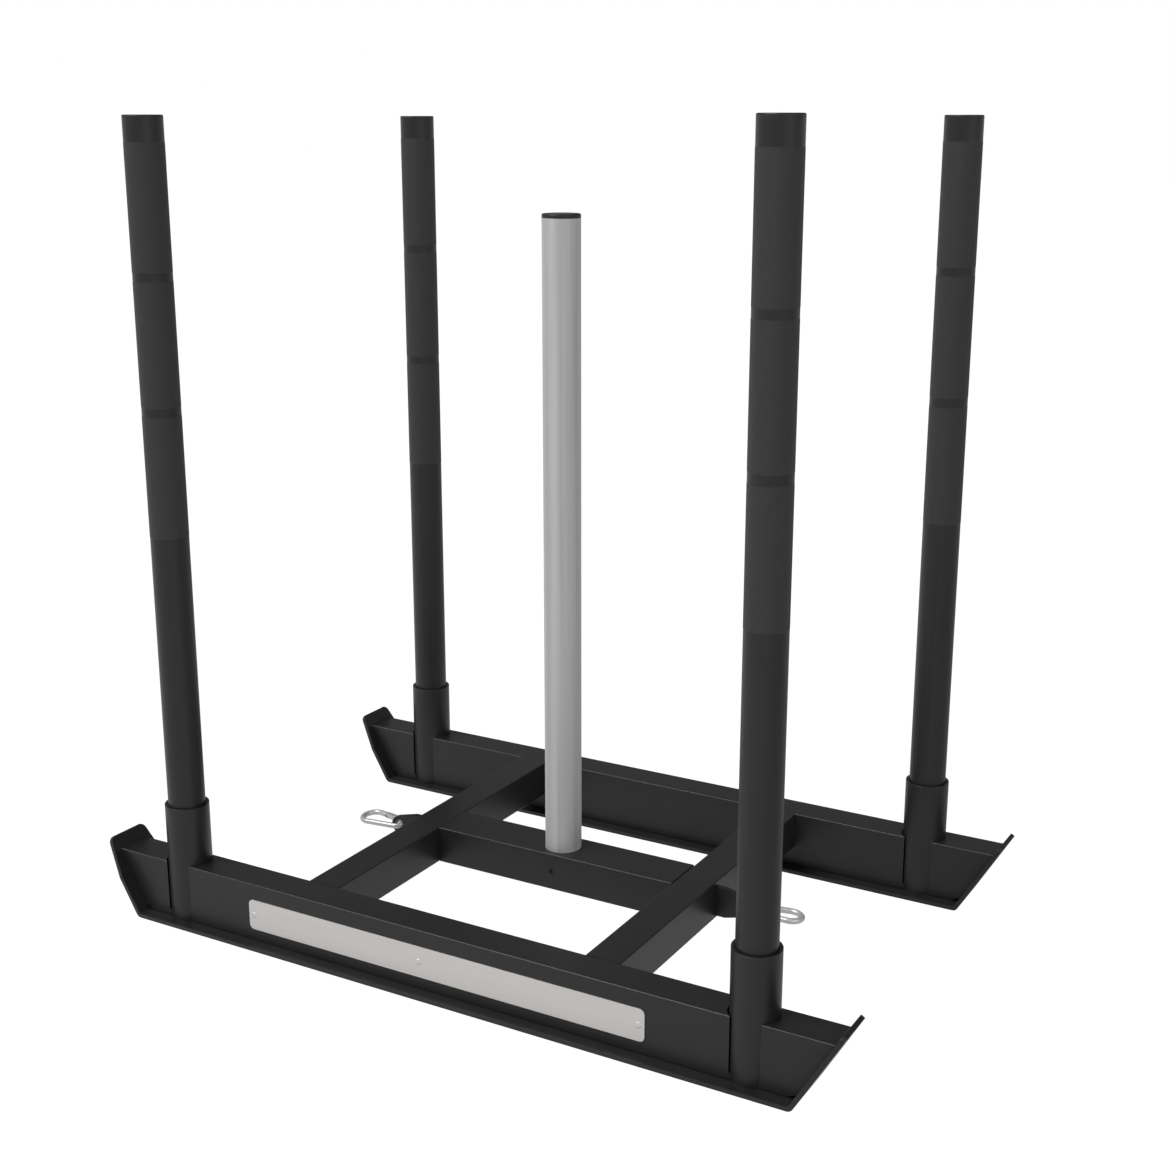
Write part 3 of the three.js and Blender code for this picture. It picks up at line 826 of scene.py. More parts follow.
@dataclass
class BasePlates:
    """The skis of the two runners: flat strips whose ends are bent up, tapered and rounded."""

    thickness: float = 6 * MM
    inner_bend: float = 2.5 * MM
    upturn_angle: float = UPTURN_ANGLE
    upturn_length: float = 115 * MM
    upturn_straight: float = 59 * MM
    tip_width: float = 62 * MM
    tip_corner: float = 10 * MM
    edge: float = 0.7 * MM

    def build(self, finishes: Finishes) -> None:
        """Shapes the near plate, copies it to the far side and dresses both.

        Args:
            finishes: The sled's finishes.
        """
        near = self.shape("ski_near", "base_plate_near")
        dress(near, finishes.coat)
        far = copy_of(near, "ski_far", shift_between("base_plate_near", "base_plate_far"))
        settle(near, FRAME_BODY, COAT_SLOT, "base_plate_near")
        settle(far, FRAME_BODY, COAT_SLOT, "base_plate_far")

    def shape(self, name: str, node: str) -> bpy.types.Object:
        """Shapes a plate from a flat sheet.

        Args:
            name: The piece's name.
            node: The node that it stands for.

        Returns:
            The finished shape.
        """
        low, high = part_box(node)
        outer_bend = self.inner_bend + self.thickness
        tangent = outer_bend * math.tan(self.upturn_angle / 2)
        flat = high.x - self.upturn_length * math.cos(self.upturn_angle) - tangent
        width = high.y - low.y
        middle = (low.y + high.y) / 2
        deselect()
        bpy.ops.mesh.primitive_plane_add(size=1, location=(0, middle, 0))
        bpy.context.active_object.scale = (2 * flat, width, 1)
        piece = begun(name)
        edit(piece)
        for way in (1, -1):
            pick(Part.EDGES, lambda at, along, way=way: close(at.x, way * flat))
            bpy.ops.mesh.spin(
                steps=Roundness.BEND,
                angle=self.upturn_angle,
                center=(way * flat, middle, outer_bend),
                axis=(0, way, 0),
            )
            self.upturn(way, Vector((way * high.x, middle, 0)), width, tangent)
        weld()
        bpy.ops.mesh.normals_make_consistent(inside=False)
        self.face_up()
        done()
        apply_modifier(piece, "SOLIDIFY", thickness=self.thickness, offset=1.0, use_even_offset=True)
        soften(piece, self.edge)
        finish_surface(piece)
        return piece

    def upturn(self, way: int, tip: Vector, width: float, tangent: float) -> None:
        """Runs the bent edge on to the tip, tapers it and rounds its corners, in edit mode.

        Args:
            way: 1 at the right end and -1 at the left.
            tip: Middle of the tip, seen from above.
            width: The strip's full width.
            tangent: How much of the upturned length the bend takes.
        """
        slope = Vector((way * math.cos(self.upturn_angle), 0, math.sin(self.upturn_angle)))
        taper_length = self.upturn_length - self.upturn_straight
        for length in (self.upturn_straight - tangent, taper_length):
            bpy.ops.mesh.extrude_region_move(TRANSFORM_OT_translate={"value": slope * length})
        bpy.ops.transform.resize(value=(1, self.tip_width / width, 1), center_override=tip)
        # A corner's rounding begins this far from its point, measured along its sides
        taper = math.atan2((width - self.tip_width) / 2, taper_length)
        reach = self.tip_corner / math.tan((math.pi / 2 + taper) / 2)
        top = self.upturn_length * slope.z
        pick(Part.VERTS, lambda at, out: close(at.z, top) and at.x * way > 0)
        bpy.ops.mesh.bevel(offset=reach, segments=Roundness.BEND, affect="VERTICES")

    def face_up(self) -> None:
        """Turns the strip's faces upwards, in edit mode, so that its thickness grows that way."""
        mesh = bmesh.from_edit_mesh(bpy.context.edit_object.data)
        widest = max(mesh.faces, key=lambda face: face.calc_area())
        if widest.normal.z < 0:
            bpy.ops.mesh.flip_normals()


def box_tube(name: str, low: Vector, high: Vector, axis: int, wall: float, edge: float) -> bpy.types.Object:
    """Shapes a box tube that is open at both ends, with rounded outer edges along it.

    Args:
        name: The piece's name.
        low: Lowest corner.
        high: Highest corner.
        axis: 0 if it runs along X, or 1 along Y.
        wall: Wall thickness.
        edge: Radius of its outer edges.

    Returns:
        The new object.
    """
    piece = new_block(name, low, high)
    edit(piece)
    pick(Part.FACES, lambda at, out: abs(out[axis]) > SQUARE)
    bpy.ops.mesh.delete(type="ONLY_FACE")
    done()
    apply_modifier(piece, "SOLIDIFY", thickness=wall, offset=-1.0, use_even_offset=True)
    across = 1 - axis

    def outer_edge(at: Vector, along: Vector) -> bool:
        """Whether an edge is one of the four long outer ones."""
        on_side = close(at[across], low[across]) or close(at[across], high[across])
        return abs(along[axis]) > SQUARE and on_side and (close(at.z, low.z) or close(at.z, high.z))

    edit(piece)
    pick(Part.EDGES, outer_edge)
    bpy.ops.mesh.bevel(offset=edge, segments=Roundness.CORNER, affect="EDGES")
    done()
    return piece


@dataclass
class Rails:
    """The two runners' rails: box tube on the base plates, saddled onto the sockets in three lengths."""

    wall: float = 3 * MM
    edge: float = 1.5 * MM
    tight_gap: float = 0.3 * MM
    open_gap: float = 2.2 * MM
    # The height above the ground from which the gap is the open one
    open_from: float = 15 * MM
    overrun: float = 20 * MM
    upturn_angle: float = UPTURN_ANGLE
    heel_length: float = 10 * MM
    heel_height: float = 6 * MM

    def build(self, finishes: Finishes) -> None:
        """Shapes the near rail's lengths, copies them to the far side and dresses them.

        Args:
            finishes: The sled's finishes.
        """
        for part in ("left", "middle", "right"):
            near = self.shape(part)
            dress(near, finishes.coat)
            shift = shift_between(f"rail_near_{part}", f"rail_far_{part}")
            far = copy_of(near, f"rail_far_{part}_tube", shift)
            settle(near, FRAME_BODY, COAT_SLOT, f"rail_near_{part}")
            settle(far, FRAME_BODY, COAT_SLOT, f"rail_far_{part}")

    def shape(self, part: str) -> bpy.types.Object:
        """Shapes one length of the near rail: the tube, its saddles, and its mitre if it is an end.

        Args:
            part: left, middle or right.

        Returns:
            The finished shape.
        """
        low, high = (corner.copy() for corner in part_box(f"rail_near_{part}"))
        tip = Vector((low.x if part == "left" else high.x, 0, high.z))
        if part != "left":
            low.x -= self.overrun
        if part != "right":
            high.x += self.overrun
        piece = box_tube(f"rail_near_{part}_tube", low, high, 0, self.wall, self.edge)
        for end in ENDS if part == "middle" else (part,):
            self.saddle(piece, end, piece_is_left=(part != end) == (end == "right"))
        if part != "middle":
            self.mitre(piece, tip, low.z)
        finish_surface(piece)
        return piece

    def saddle(self, piece: bpy.types.Object, end: str, piece_is_left: bool) -> None:
        """Cuts a length of rail to fit round a socket.

        The length on the socket's left stands off a little more above the weld at its foot.

        Args:
            piece: The length of rail.
            end: Which socket it fits round.
            piece_is_left: Whether it lies on the left of that socket.
        """
        low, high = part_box(f"socket_near_{end}")
        axis = (low + high) / 2
        radius = (high.x - low.x) / 2
        cuts = [(self.tight_gap, low.z - self.overrun)]
        if piece_is_left:
            cuts.append((self.open_gap, self.open_from))
        for gap, start in cuts:
            bottom = Vector((axis.x, axis.y, start))
            top = Vector((axis.x, axis.y, high.z))
            cutter = new_bar("saddle_cutter", radius + gap, bottom, top, Roundness.TUBE)
            combine(piece, cutter, "DIFFERENCE")

    def mitre(self, piece: bpy.types.Object, tip: Vector, bottom: float) -> None:
        """Cuts a rail's outer end along the inside of the upturned plate, and its heel clear of the bend.

        Args:
            piece: The rail end.
            tip: Its furthest point, which lies at its top.
            bottom: The height of its underside.
        """
        way = 1 if tip.x > 0 else -1
        run = way / math.tan(self.upturn_angle)
        foot = tip - Vector((run, 0, 1)) * (tip.z - bottom)
        heel_start = foot - Vector((way * self.heel_length, 0, 0))
        heel_end = foot + Vector((run, 0, 1)) * self.heel_height
        for start, end in ((foot, tip), (heel_start, heel_end)):
            slope = (end - start).normalized()
            outward = Vector((way * slope.z, 0, -way * slope.x))
            edit(piece)
            bpy.ops.mesh.select_all(action="SELECT")
            bpy.ops.mesh.bisect(plane_co=start, plane_no=outward, use_fill=True, clear_outer=True)
            done()


@dataclass
class Sockets:
    """The four sockets that stand on the base plates and take the push poles."""

    wall: float = 4 * MM
    rim: float = 0.5 * MM

    def build(self, finishes: Finishes) -> None:
        """Shapes one socket, copies it to the other three places and dresses them.

        Args:
            finishes: The sled's finishes.
        """
        first = PLACES[0]
        model = self.shape(first)
        dress(model, finishes.coat)
        pieces = {first: model}
        for place in PLACES[1:]:
            shift = shift_between(f"socket_{first}", f"socket_{place}")
            pieces[place] = copy_of(model, f"socket_{place}_tube", shift)
        for place, piece in pieces.items():
            settle(piece, FRAME_BODY, COAT_SLOT, f"socket_{place}")

    def shape(self, place: str) -> bpy.types.Object:
        """Shapes a socket.

        Args:
            place: Its place, such as near_left.

        Returns:
            The finished shape.
        """
        low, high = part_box(f"socket_{place}")
        radius = (high.x - low.x) / 2
        bore = radius - self.wall
        rim = rounding(radius, high.z, self.rim, Roundness.CORNER)
        inner = [(bore + self.rim / 2, high.z), (bore, high.z - self.rim / 2)]
        profile = [(bore, low.z), (radius, low.z), *rim, *inner, (bore, low.z)]
        piece = turned(f"socket_{place}_tube", profile)
        stand_at(piece, (low + high) / 2)
        finish_surface(piece)
        return piece


@dataclass
class PushPoles:
    """The push poles: tubes with three knurled grips, and a flush cap in the top of each."""

    # Where each knurl begins and ends above the ground
    knurls: tuple[tuple[float, float], ...] = (
        (538 * MM, 694.8 * MM),
        (706.8 * MM, 864.1 * MM),
        (875.2 * MM, 1031.8 * MM),
    )
    knurl_rise: float = 0.2 * MM
    knurl_run_out: float = 0.6 * MM
    wall: float = 3 * MM
    end_chamfer: float = 0.5 * MM
    cap_edge: float = 1.8 * MM
    # Faces no deeper than this below the plain tube are on its outside
    skin: float = 0.1 * MM

    def build(self, finishes: Finishes) -> None:
        """Shapes one pole and cap, copies them to the other three sockets and dresses them.

        Args:
            finishes: The sled's finishes.
        """
        first = PLACES[0]
        low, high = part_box(f"pole_{first}")
        radius = (high.x - low.x) / 2
        tube = self.tube(first, low, high)
        dress(tube, finishes.coat, KnurledCoat().material(radius))
        self.mark_knurls(tube, (low + high) / 2, radius - self.knurl_rise)
        cap = self.cap(first, high.z)
        dress(cap, finishes.plastic)
        pieces = {first: (tube, cap)}
        for place in PLACES[1:]:
            shift = shift_between(f"pole_{first}", f"pole_{place}")
            other_tube = copy_of(tube, f"pole_{place}_tube", shift)
            pieces[place] = (other_tube, copy_of(cap, f"pole_cap_{place}_plug", shift))
        for place, (tube, cap) in pieces.items():
            settle(tube, f"push_pole_{place}", "black_knurled_coat", f"pole_{place}")
            settle(cap, f"push_pole_{place}", "black_plastic", f"pole_cap_{place}")
            keep_solid(f"pole_foot_{place}", finishes.plastic)

    def tube(self, place: str, low: Vector, high: Vector) -> bpy.types.Object:
        """Shapes a pole's tube, a little thinner where it isn't knurled.

        Args:
            place: The pole's place, such as near_left.
            low: The node's lowest corner.
            high: The node's highest corner.

        Returns:
            The finished shape, with a UV map round it.
        """
        outer = (high.x - low.x) / 2
        plain = outer - self.knurl_rise
        bore = outer - self.wall
        outline = [(bore, low.z), (plain - self.end_chamfer, low.z), (plain, low.z + self.end_chamfer)]
        for bottom, top in self.knurls:
            outline += [(plain, bottom), (outer, bottom + self.knurl_run_out)]
            outline += [(outer, top - self.knurl_run_out), (plain, top)]
        outline += [(plain, high.z), (bore, high.z), (bore, low.z)]
        piece = turned(f"pole_{place}_tube", outline)
        middle = (low + high) / 2
        stand_at(piece, middle)
        wrap_around(piece, Vector((middle.x, middle.y, 0)), outer)
        finish_surface(piece)
        return piece

    def mark_knurls(self, tube: bpy.types.Object, middle: Vector, plain: float) -> None:
        """Gives the knurled stretches the tube's second material.

        Args:
            tube: The pole's tube.
            middle: A point on its axis.
            plain: Its radius where it isn't knurled.
        """
        for polygon in tube.data.polygons:
            reach = math.hypot(polygon.center.x - middle.x, polygon.center.y - middle.y)
            on_knurl = any(bottom < polygon.center.z < top for bottom, top in self.knurls)
            if on_knurl and reach > plain - self.skin:
                polygon.material_index = 1

    def cap(self, place: str, tube_top: float) -> bpy.types.Object:
        """Shapes a cap, flush with the tube.

        Args:
            place: The pole's place, such as near_left.
            tube_top: The height of the tube's end.

        Returns:
            The finished shape.
        """
        low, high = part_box(f"pole_cap_{place}")
        radius = (high.x - low.x) / 2 - self.knurl_rise
        stem = radius - self.wall
        crown = rounding(radius, high.z, self.cap_edge, Roundness.POLE_CAP_EDGE)
        profile = [(stem, low.z), (stem, tube_top), (radius, tube_top), *crown]
        piece = turned(f"pole_cap_{place}_plug", profile)
        stand_at(piece, (low + high) / 2)
        finish_surface(piece)
        return piece


@dataclass
class WeightPost:
    """The post for weight discs, its cap, and the set screw that holds it."""

    wall: float = 3 * MM
    end_chamfer: float = 0.2 * MM
    cap_edge: float = 2.0 * MM
    seam: float = 0.25 * MM
    plug_gap: float = 0.3 * MM
    key_width: float = 4 * MM
    key_depth: float = 1.5 * MM
    screw_edge: float = 0.2 * MM

    def build(self, finishes: Finishes) -> None:
        """Shapes the post, its cap and the screw and dresses them.

        Args:
            finishes: The sled's finishes.
        """
        self.tube(finishes)
        self.cap(finishes)
        self.screw(finishes)

    def tube(self, finishes: Finishes) -> None:
        """Shapes the post's tube.

        Args:
            finishes: The sled's finishes.
        """
        low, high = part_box("weight_post")
        radius = (high.x - low.x) / 2
        bore = radius - self.wall
        chamfer = self.end_chamfer
        outline = [(bore, low.z), (radius - chamfer, low.z), (radius, low.z + chamfer)]
        outline += [(radius, high.z - chamfer), (radius - chamfer, high.z), (bore, high.z), (bore, low.z)]
        piece = turned("weight_post_tube", outline)
        finish_surface(piece)
        dress(piece, finishes.grey_zinc)
        settle(piece, FRAME_BODY, "grey_zinc", "weight_post")

    def cap(self, finishes: Finishes) -> None:
        """Shapes the post's cap.

        Args:
            finishes: The sled's finishes.
        """
        low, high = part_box("post_cap")
        tube_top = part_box("weight_post")[1].z
        radius = (high.x - low.x) / 2
        stem = radius - self.wall - self.plug_gap
        head = [(radius - self.seam, tube_top), (radius, tube_top + self.seam)]
        crown = rounding(radius, high.z, self.cap_edge, Roundness.POST_CAP_EDGE)
        piece = turned("post_cap_plug", [(stem, low.z), (stem, tube_top), *head, *crown])
        finish_surface(piece)
        dress(piece, finishes.plastic)
        settle(piece, FRAME_BODY, "black_plastic", "post_cap")

    def screw(self, finishes: Finishes) -> None:
        """Shapes the set screw, with a hexagon socket in its outer end.

        Args:
            finishes: The sled's finishes.
        """
        low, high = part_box("post_set_screw")
        middle = (low + high) / 2
        radius = (high.x - low.x) / 2
        start = Vector((middle.x, high.y, middle.z))
        end = Vector((middle.x, low.y, middle.z))
        piece = new_bar("post_set_screw_body", radius, start, end, Roundness.SMALL)
        key_start = end + Vector((0, self.key_depth, 0))
        key_end = end - Vector((0, self.key_depth, 0))
        key_corner = self.key_width / math.sqrt(3)
        key = new_bar("key_cutter", key_corner, key_start, key_end, Roundness.HEXAGON)
        combine(piece, key, "DIFFERENCE")
        soften(piece, self.screw_edge)
        finish_surface(piece)
        dress(piece, finishes.black_oxide)
        settle(piece, FRAME_BODY, "dark_steel", "post_set_screw")


@dataclass
class CrossFrame:
    """The two cross-members, the centre beam between them, and a tow lug on each cross-member."""

    wall: float = 3 * MM
    edge: float = 1.5 * MM
    # The seam between the beam's right end and the cross-member
    beam_end_gap: float = 1.5 * MM
    post_hole_gap: float = 0.5 * MM
    screw_hole_gap: float = 0.15 * MM
    lug_straight: float = 15 * MM
    lug_tip: float = 13 * MM
    lug_hole: float = 8.25 * MM
    lug_edge: float = 0.6 * MM

    def build(self, finishes: Finishes) -> None:
        """Shapes the pieces and dresses them.

        Args:
            finishes: The sled's finishes.
        """
        self.beam(finishes)
        left = self.cross_member("cross_member_left")
        dress(left, finishes.coat)
        shift = shift_between("cross_member_left", "cross_member_right")
        right = copy_of(left, "cross_member_right_tube", shift)
        right_lug = self.lug("tow_lug_right")
        dress(right_lug, finishes.coat)
        left_lug = copy_of(right_lug, "tow_lug_left_plate", Matrix.Rotation(math.pi, 4, "Z"))
        settle(left, FRAME_BODY, COAT_SLOT, "cross_member_left")
        settle(right, FRAME_BODY, COAT_SLOT, "cross_member_right")
        settle(left_lug, FRAME_BODY, COAT_SLOT, "tow_lug_left")
        settle(right_lug, FRAME_BODY, COAT_SLOT, "tow_lug_right")

    def cross_member(self, node: str) -> bpy.types.Object:
        """Shapes a cross-member.

        Args:
            node: The node that it stands for.

        Returns:
            The finished shape.
        """
        low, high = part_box(node)
        piece = box_tube(f"{node}_tube", low, high, 1, self.wall, self.edge)
        finish_surface(piece)
        return piece

    def beam(self, finishes: Finishes) -> None:
        """Shapes the centre beam, with the holes for the post and its screw.

        Args:
            finishes: The sled's finishes.
        """
        low, high = (corner.copy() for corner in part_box("centre_beam"))
        high.x -= self.beam_end_gap
        piece = box_tube("centre_beam_tube", low, high, 0, self.wall, self.edge)
        post_low, post_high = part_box("weight_post")
        post_radius = (post_high.x - post_low.x) / 2 + self.post_hole_gap
        inside = Vector((0, 0, (low.z + high.z) / 2))
        above = Vector((0, 0, high.z + self.wall))
        hole = new_bar("post_hole_cutter", post_radius, inside, above, Roundness.TUBE)
        combine(piece, hole, "DIFFERENCE")
        screw_low, screw_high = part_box("post_set_screw")
        screw = (screw_low + screw_high) / 2
        screw_radius = (screw_high.x - screw_low.x) / 2 + self.screw_hole_gap
        inside = Vector((screw.x, 0, screw.z))
        outside = Vector((screw.x, low.y - self.wall, screw.z))
        hole = new_bar("screw_hole_cutter", screw_radius, inside, outside, Roundness.SMALL)
        combine(piece, hole, "DIFFERENCE")
        finish_surface(piece)
        dress(piece, finishes.coat)
        settle(piece, FRAME_BODY, COAT_SLOT, "centre_beam")

    def lug(self, node: str) -> bpy.types.Object:
        """Shapes the right tow lug: a plate that tapers to a round tip with a hole in it.

        Args:
            node: The node that it stands for.

        Returns:
            The finished shape.
        """
        low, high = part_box(node)
        reach = high.x - low.x - self.lug_tip
        half = (high.z - low.z) / 2
        middle = (low.z + high.z) / 2
        # The tapered edge runs from the end of the straight one to where it touches the round tip
        far = Vector((reach - self.lug_straight, -half))
        slope = math.atan2(far.y, far.x) + math.asin(self.lug_tip / far.length)
        touch = Vector((reach - self.lug_tip * math.sin(slope), self.lug_tip * math.cos(slope)))
        piece = new_block(f"{node}_plate", low, Vector((low.x + self.lug_straight, high.y, high.z)))
        edit(piece)
        pick(Part.FACES, lambda at, out: out.x > SQUARE)
        step = (touch.x - self.lug_straight, 0, 0)
        bpy.ops.mesh.extrude_region_move(TRANSFORM_OT_translate={"value": step})
        centre = (low.x + touch.x, 0, middle)
        bpy.ops.transform.resize(value=(1, 1, touch.y / half), center_override=centre)
        done()
        hole_at = Vector((low.x + reach, 0, middle))
        tip = self.across_bar("tip", self.lug_tip, hole_at, high.y)
        combine(piece, tip, "UNION")
        hole = self.across_bar("hole_cutter", self.lug_hole, hole_at, high.y + self.wall)
        combine(piece, hole, "DIFFERENCE")
        soften(piece, self.lug_edge)
        finish_surface(piece)
        return piece

    def across_bar(self, name: str, radius: float, middle: Vector, reach: float) -> bpy.types.Object:
        """A round bar that lies across the sled.

        Args:
            name: Its name.
            radius: Its radius.
            middle: Its middle.
            reach: How far each end is from its middle.

        Returns:
            The bar.
        """
        half = Vector((0, reach, 0))
        return new_bar(name, radius, middle - half, middle + half, Roundness.TUBE)


@dataclass
class SnapHooks:
    """The two snap hooks of bent wire with a spring gate, drawn with U to the wide bow and V to the gate."""

    wire: float = 4 * MM
    narrow_bow: float = 10.5 * MM
    wide_bow: float = 16 * MM
    bow_spacing: float = 47.5 * MM
    pin_reach: float = 12.5 * MM
    nose_reach: float = 43.4 * MM
    end_gap: float = 0.5 * MM
    gate_height: float = 7.6 * MM
    gate_thickness: float = 7.2 * MM
    gate_edge: float = 1.0 * MM
    tongue_thickness: float = 3.2 * MM
    tongue_radius: float = 3.4 * MM
    tongue_root: float = 2 * MM
    nose_tongue: float = 5 * MM
    nose_height: float = 4.6 * MM
    slot_gap: float = 0.3 * MM
    slot_depth: float = 6 * MM
    bore: float = 2 * MM
    bore_depth: float = 14 * MM
    pin: float = 1.2 * MM
    pin_gap: float = 0.12 * MM
    pin_edge: float = 0.12 * MM
    wire_edge: float = 0.4 * MM
    slack: float = 5 * MM
    # In degrees: only edges that turn by more than these are rounded
    wire_turn: float = 60
    gate_turn: float = 50
    flank: float = field(init=False)
    gate_length: float = field(init=False)
    gate_in_hook: Matrix = field(init=False)

    def __post_init__(self) -> None:
        """Works out the flank, which is how far the gate side turns from U, and the gate's own axes."""
        self.flank = math.asin((self.wide_bow - self.narrow_bow) / self.bow_spacing)
        self.gate_length = (self.nose_reach - self.pin_reach) / math.cos(self.flank)
        pin = self.gate_side(self.pin_reach)
        self.gate_in_hook = Matrix.Translation(pin) @ Matrix.Rotation(self.flank, 4, "Z")

    def gate_side(self, u: float) -> Vector:
        """A point on the wire's centre line on the gate side.

        Args:
            u: How far along the hook it lies.

        Returns:
            The point, in the hook's own plane.
        """
        start_u = self.narrow_bow * (1 - math.sin(self.flank))
        start_v = self.narrow_bow * math.cos(self.flank)
        return Vector((u, start_v + (u - start_u) * math.tan(self.flank), 0))

    def hook_place(self, end: str) -> Matrix:
        """Works out where a hook's own axes lie, from its two joints.

        Args:
            end: left or right.

        Returns:
            The matrix from the hook's axes to the sled's.
        """
        joints = {joint["name"]: joint for joint in frame["joints"]}
        gate = joints[f"gate_open_{end}"]
        origin = Vector(joints[f"hook_swing_{end}"]["pos_m"])
        normal = -Vector(gate["axis"]).normalized()
        to_pin = Vector(gate["pos_m"]) - origin
        to_pin = (to_pin - normal * to_pin.dot(normal)).normalized()
        # The gate's pin lies beside the hook's middle line, which is turned back from it by that angle
        pin = self.gate_side(self.pin_reach)
        along = Matrix.Rotation(-math.atan2(pin.y, pin.x), 3, normal) @ to_pin
        across = normal.cross(along)
        turn = Matrix((along, across, normal)).transposed()
        return Matrix.Translation(origin) @ turn.to_4x4()

    def build(self, finishes: Finishes) -> None:
        """Shapes one hook in its own plane and copies it to both lugs.

        Args:
            finishes: The sled's finishes.
        """
        body, gate, pin = self.body(), self.gate(), self.gate_pin()
        for model in (body, gate, pin):
            dress(model, finishes.bright_zinc)
        for end in ENDS:
            hook_place = self.hook_place(end)
            gate_place = hook_place @ self.gate_in_hook
            wire = copy_of(body, f"snap_hook_{end}_wire", hook_place)
            bar = copy_of(gate, f"hook_gate_{end}_bar", gate_place)
            rivet = copy_of(pin, f"gate_pin_{end}_rivet", gate_place)
            settle(wire, f"{end}_hook", "bright_zinc", f"snap_hook_{end}")
            settle(bar, f"{end}_gate", "bright_zinc", f"hook_gate_{end}")
            settle(rivet, f"{end}_hook", "bright_zinc", f"gate_pin_{end}")
            keep_solid(f"gate_spring_{end}", finishes.bright_zinc)
            keep_solid(f"gate_plunger_{end}", finishes.black_oxide)
        for model in (body, gate, pin):
            bpy.data.objects.remove(model)

    def body(self) -> bpy.types.Object:
        """Bends the wire and adds the two tongues that the gate closes over.

        Returns:
            The finished shape, in the hook's own plane.
        """
        cos, sin = math.cos(self.flank), math.sin(self.flank)
        hinge_u = self.pin_reach - (self.gate_height / 2 + self.end_gap) * cos
        nose_u = self.nose_reach + self.end_gap * cos
        start = self.gate_side(hinge_u)
        narrow_u = self.narrow_bow * (1 - sin)
        wide_centre = self.narrow_bow + self.bow_spacing
        wide_end_u = wide_centre - self.wide_bow * sin
        back = Vector((-cos, -sin, 0))
        forth = Vector((cos, -sin, 0))
        deselect()
        bpy.ops.mesh.primitive_circle_add(
            vertices=Roundness.WIRE,
            radius=self.wire,
            location=start,
            rotation=back.to_track_quat("Z", "Y").to_euler(),
        )
        piece = begun("hook_wire")
        edit(piece)
        bpy.ops.mesh.select_mode(type=Part.EDGES.value)
        bpy.ops.mesh.select_all(action="SELECT")
        self.push(back * ((hinge_u - narrow_u) / cos))
        self.bend(self.narrow_bow, math.pi - 2 * self.flank)
        self.push(forth * (self.bow_spacing * cos))
        self.bend(wide_centre, math.pi + 2 * self.flank)
        self.push(back * ((wide_end_u - nose_u) / cos))
        close_ends()
        done()
        soften(piece, self.wire_edge, limit=self.wire_turn)
        self.add_tongues(piece)
        finish_surface(piece)
        return piece

    def push(self, step: Vector) -> None:
        """Runs the wire straight on, in edit mode.

        Args:
            step: How far and which way.
        """
        if step.length > NEAR:
            bpy.ops.mesh.extrude_region_move(TRANSFORM_OT_translate={"value": step})

    def bend(self, centre_u: float, angle: float) -> None:
        """Bends the wire round a point on the hook's middle line, in edit mode.

        Args:
            centre_u: How far along the hook the point lies.
            angle: How far the wire turns.
        """
        # Two bends' steps for each half turn, and one more bend's for a smooth bow
        steps = round(angle / math.pi * 2 * Roundness.BEND) + Roundness.BEND
        bpy.ops.mesh.spin(steps=steps, angle=angle, center=(centre_u, 0, 0), axis=(0, 0, -1))

    def add_tongues(self, piece: bpy.types.Object) -> None:
        """Joins the hinge tongue and the nose tongue to the wire and drills the pin's hole.

        Args:
            piece: The bent wire, in the hook's own plane.
        """
        half = self.tongue_thickness / 2
        root = -self.gate_height / 2 - self.end_gap - self.tongue_root
        reach = self.tongue_radius
        hinge = new_block("hinge_tongue", Vector((root, -reach, -half)), Vector((reach, reach, half)))
        edit(hinge)
        pick(Part.EDGES, lambda at, along: close(at.x, reach) and abs(along.z) > SQUARE)
        bpy.ops.mesh.bevel(offset=reach, segments=2 * Roundness.BEND, affect="EDGES")
        weld()
        done()
        tall = self.nose_height / 2
        nose_start = Vector((self.gate_length - self.nose_tongue, -tall, -half))
        nose_end = Vector((self.gate_length + self.end_gap + self.tongue_root, tall, half))
        nose = new_block("nose_tongue", nose_start, nose_end)
        soften(nose, self.wire_edge)
        for tongue in (hinge, nose):
            set_place(tongue, self.gate_in_hook)
            combine(piece, tongue, "UNION")
        pin = self.gate_side(self.pin_reach)
        through = Vector((0, 0, self.tongue_thickness))
        drill = new_bar("drill", self.pin + self.pin_gap, pin - through, pin + through, Roundness.WIRE)
        combine(piece, drill, "DIFFERENCE")

    def gate(self) -> bpy.types.Object:
        """Shapes the gate: a flat-sided bar, round at its pin, slotted at both ends and bored.

        Returns:
            The finished shape, on its own axes.
        """
        half = self.gate_height / 2
        thick = self.gate_thickness / 2
        low = Vector((-half, -half, -thick))
        piece = new_block("gate_bar", low, Vector((self.gate_length, half, thick)))
        edit(piece)
        pick(Part.EDGES, lambda at, along: close(at.x, -half) and abs(along.z) > SQUARE)
        bpy.ops.mesh.bevel(offset=half, segments=Roundness.BEND, affect="EDGES")
        weld()
        done()
        soften(piece, self.gate_edge, segments=Roundness.GATE_EDGE, limit=self.gate_turn)
        gap = self.tongue_thickness / 2 + self.slot_gap
        side = half + self.slack
        nose_slot = self.gate_length - self.nose_tongue - 2 * self.end_gap
        slots = ((-half - self.slack, self.slot_depth), (nose_slot, self.gate_length + self.slack))
        for start, stop in slots:
            slot = new_block("slot_cutter", Vector((start, -side, -gap)), Vector((stop, side, gap)))
            combine(piece, slot, "DIFFERENCE")
        bore_end = Vector((self.slot_depth + self.bore_depth, 0, 0))
        bore = new_bar("bore_cutter", self.bore, Vector((self.tongue_radius, 0, 0)), bore_end, Roundness.WIRE)
        combine(piece, bore, "DIFFERENCE")
        through = Vector((0, 0, self.gate_thickness))
        drill = new_bar("drill", self.pin + self.pin_gap, -through, through, Roundness.WIRE)
        combine(piece, drill, "DIFFERENCE")
        finish_surface(piece)
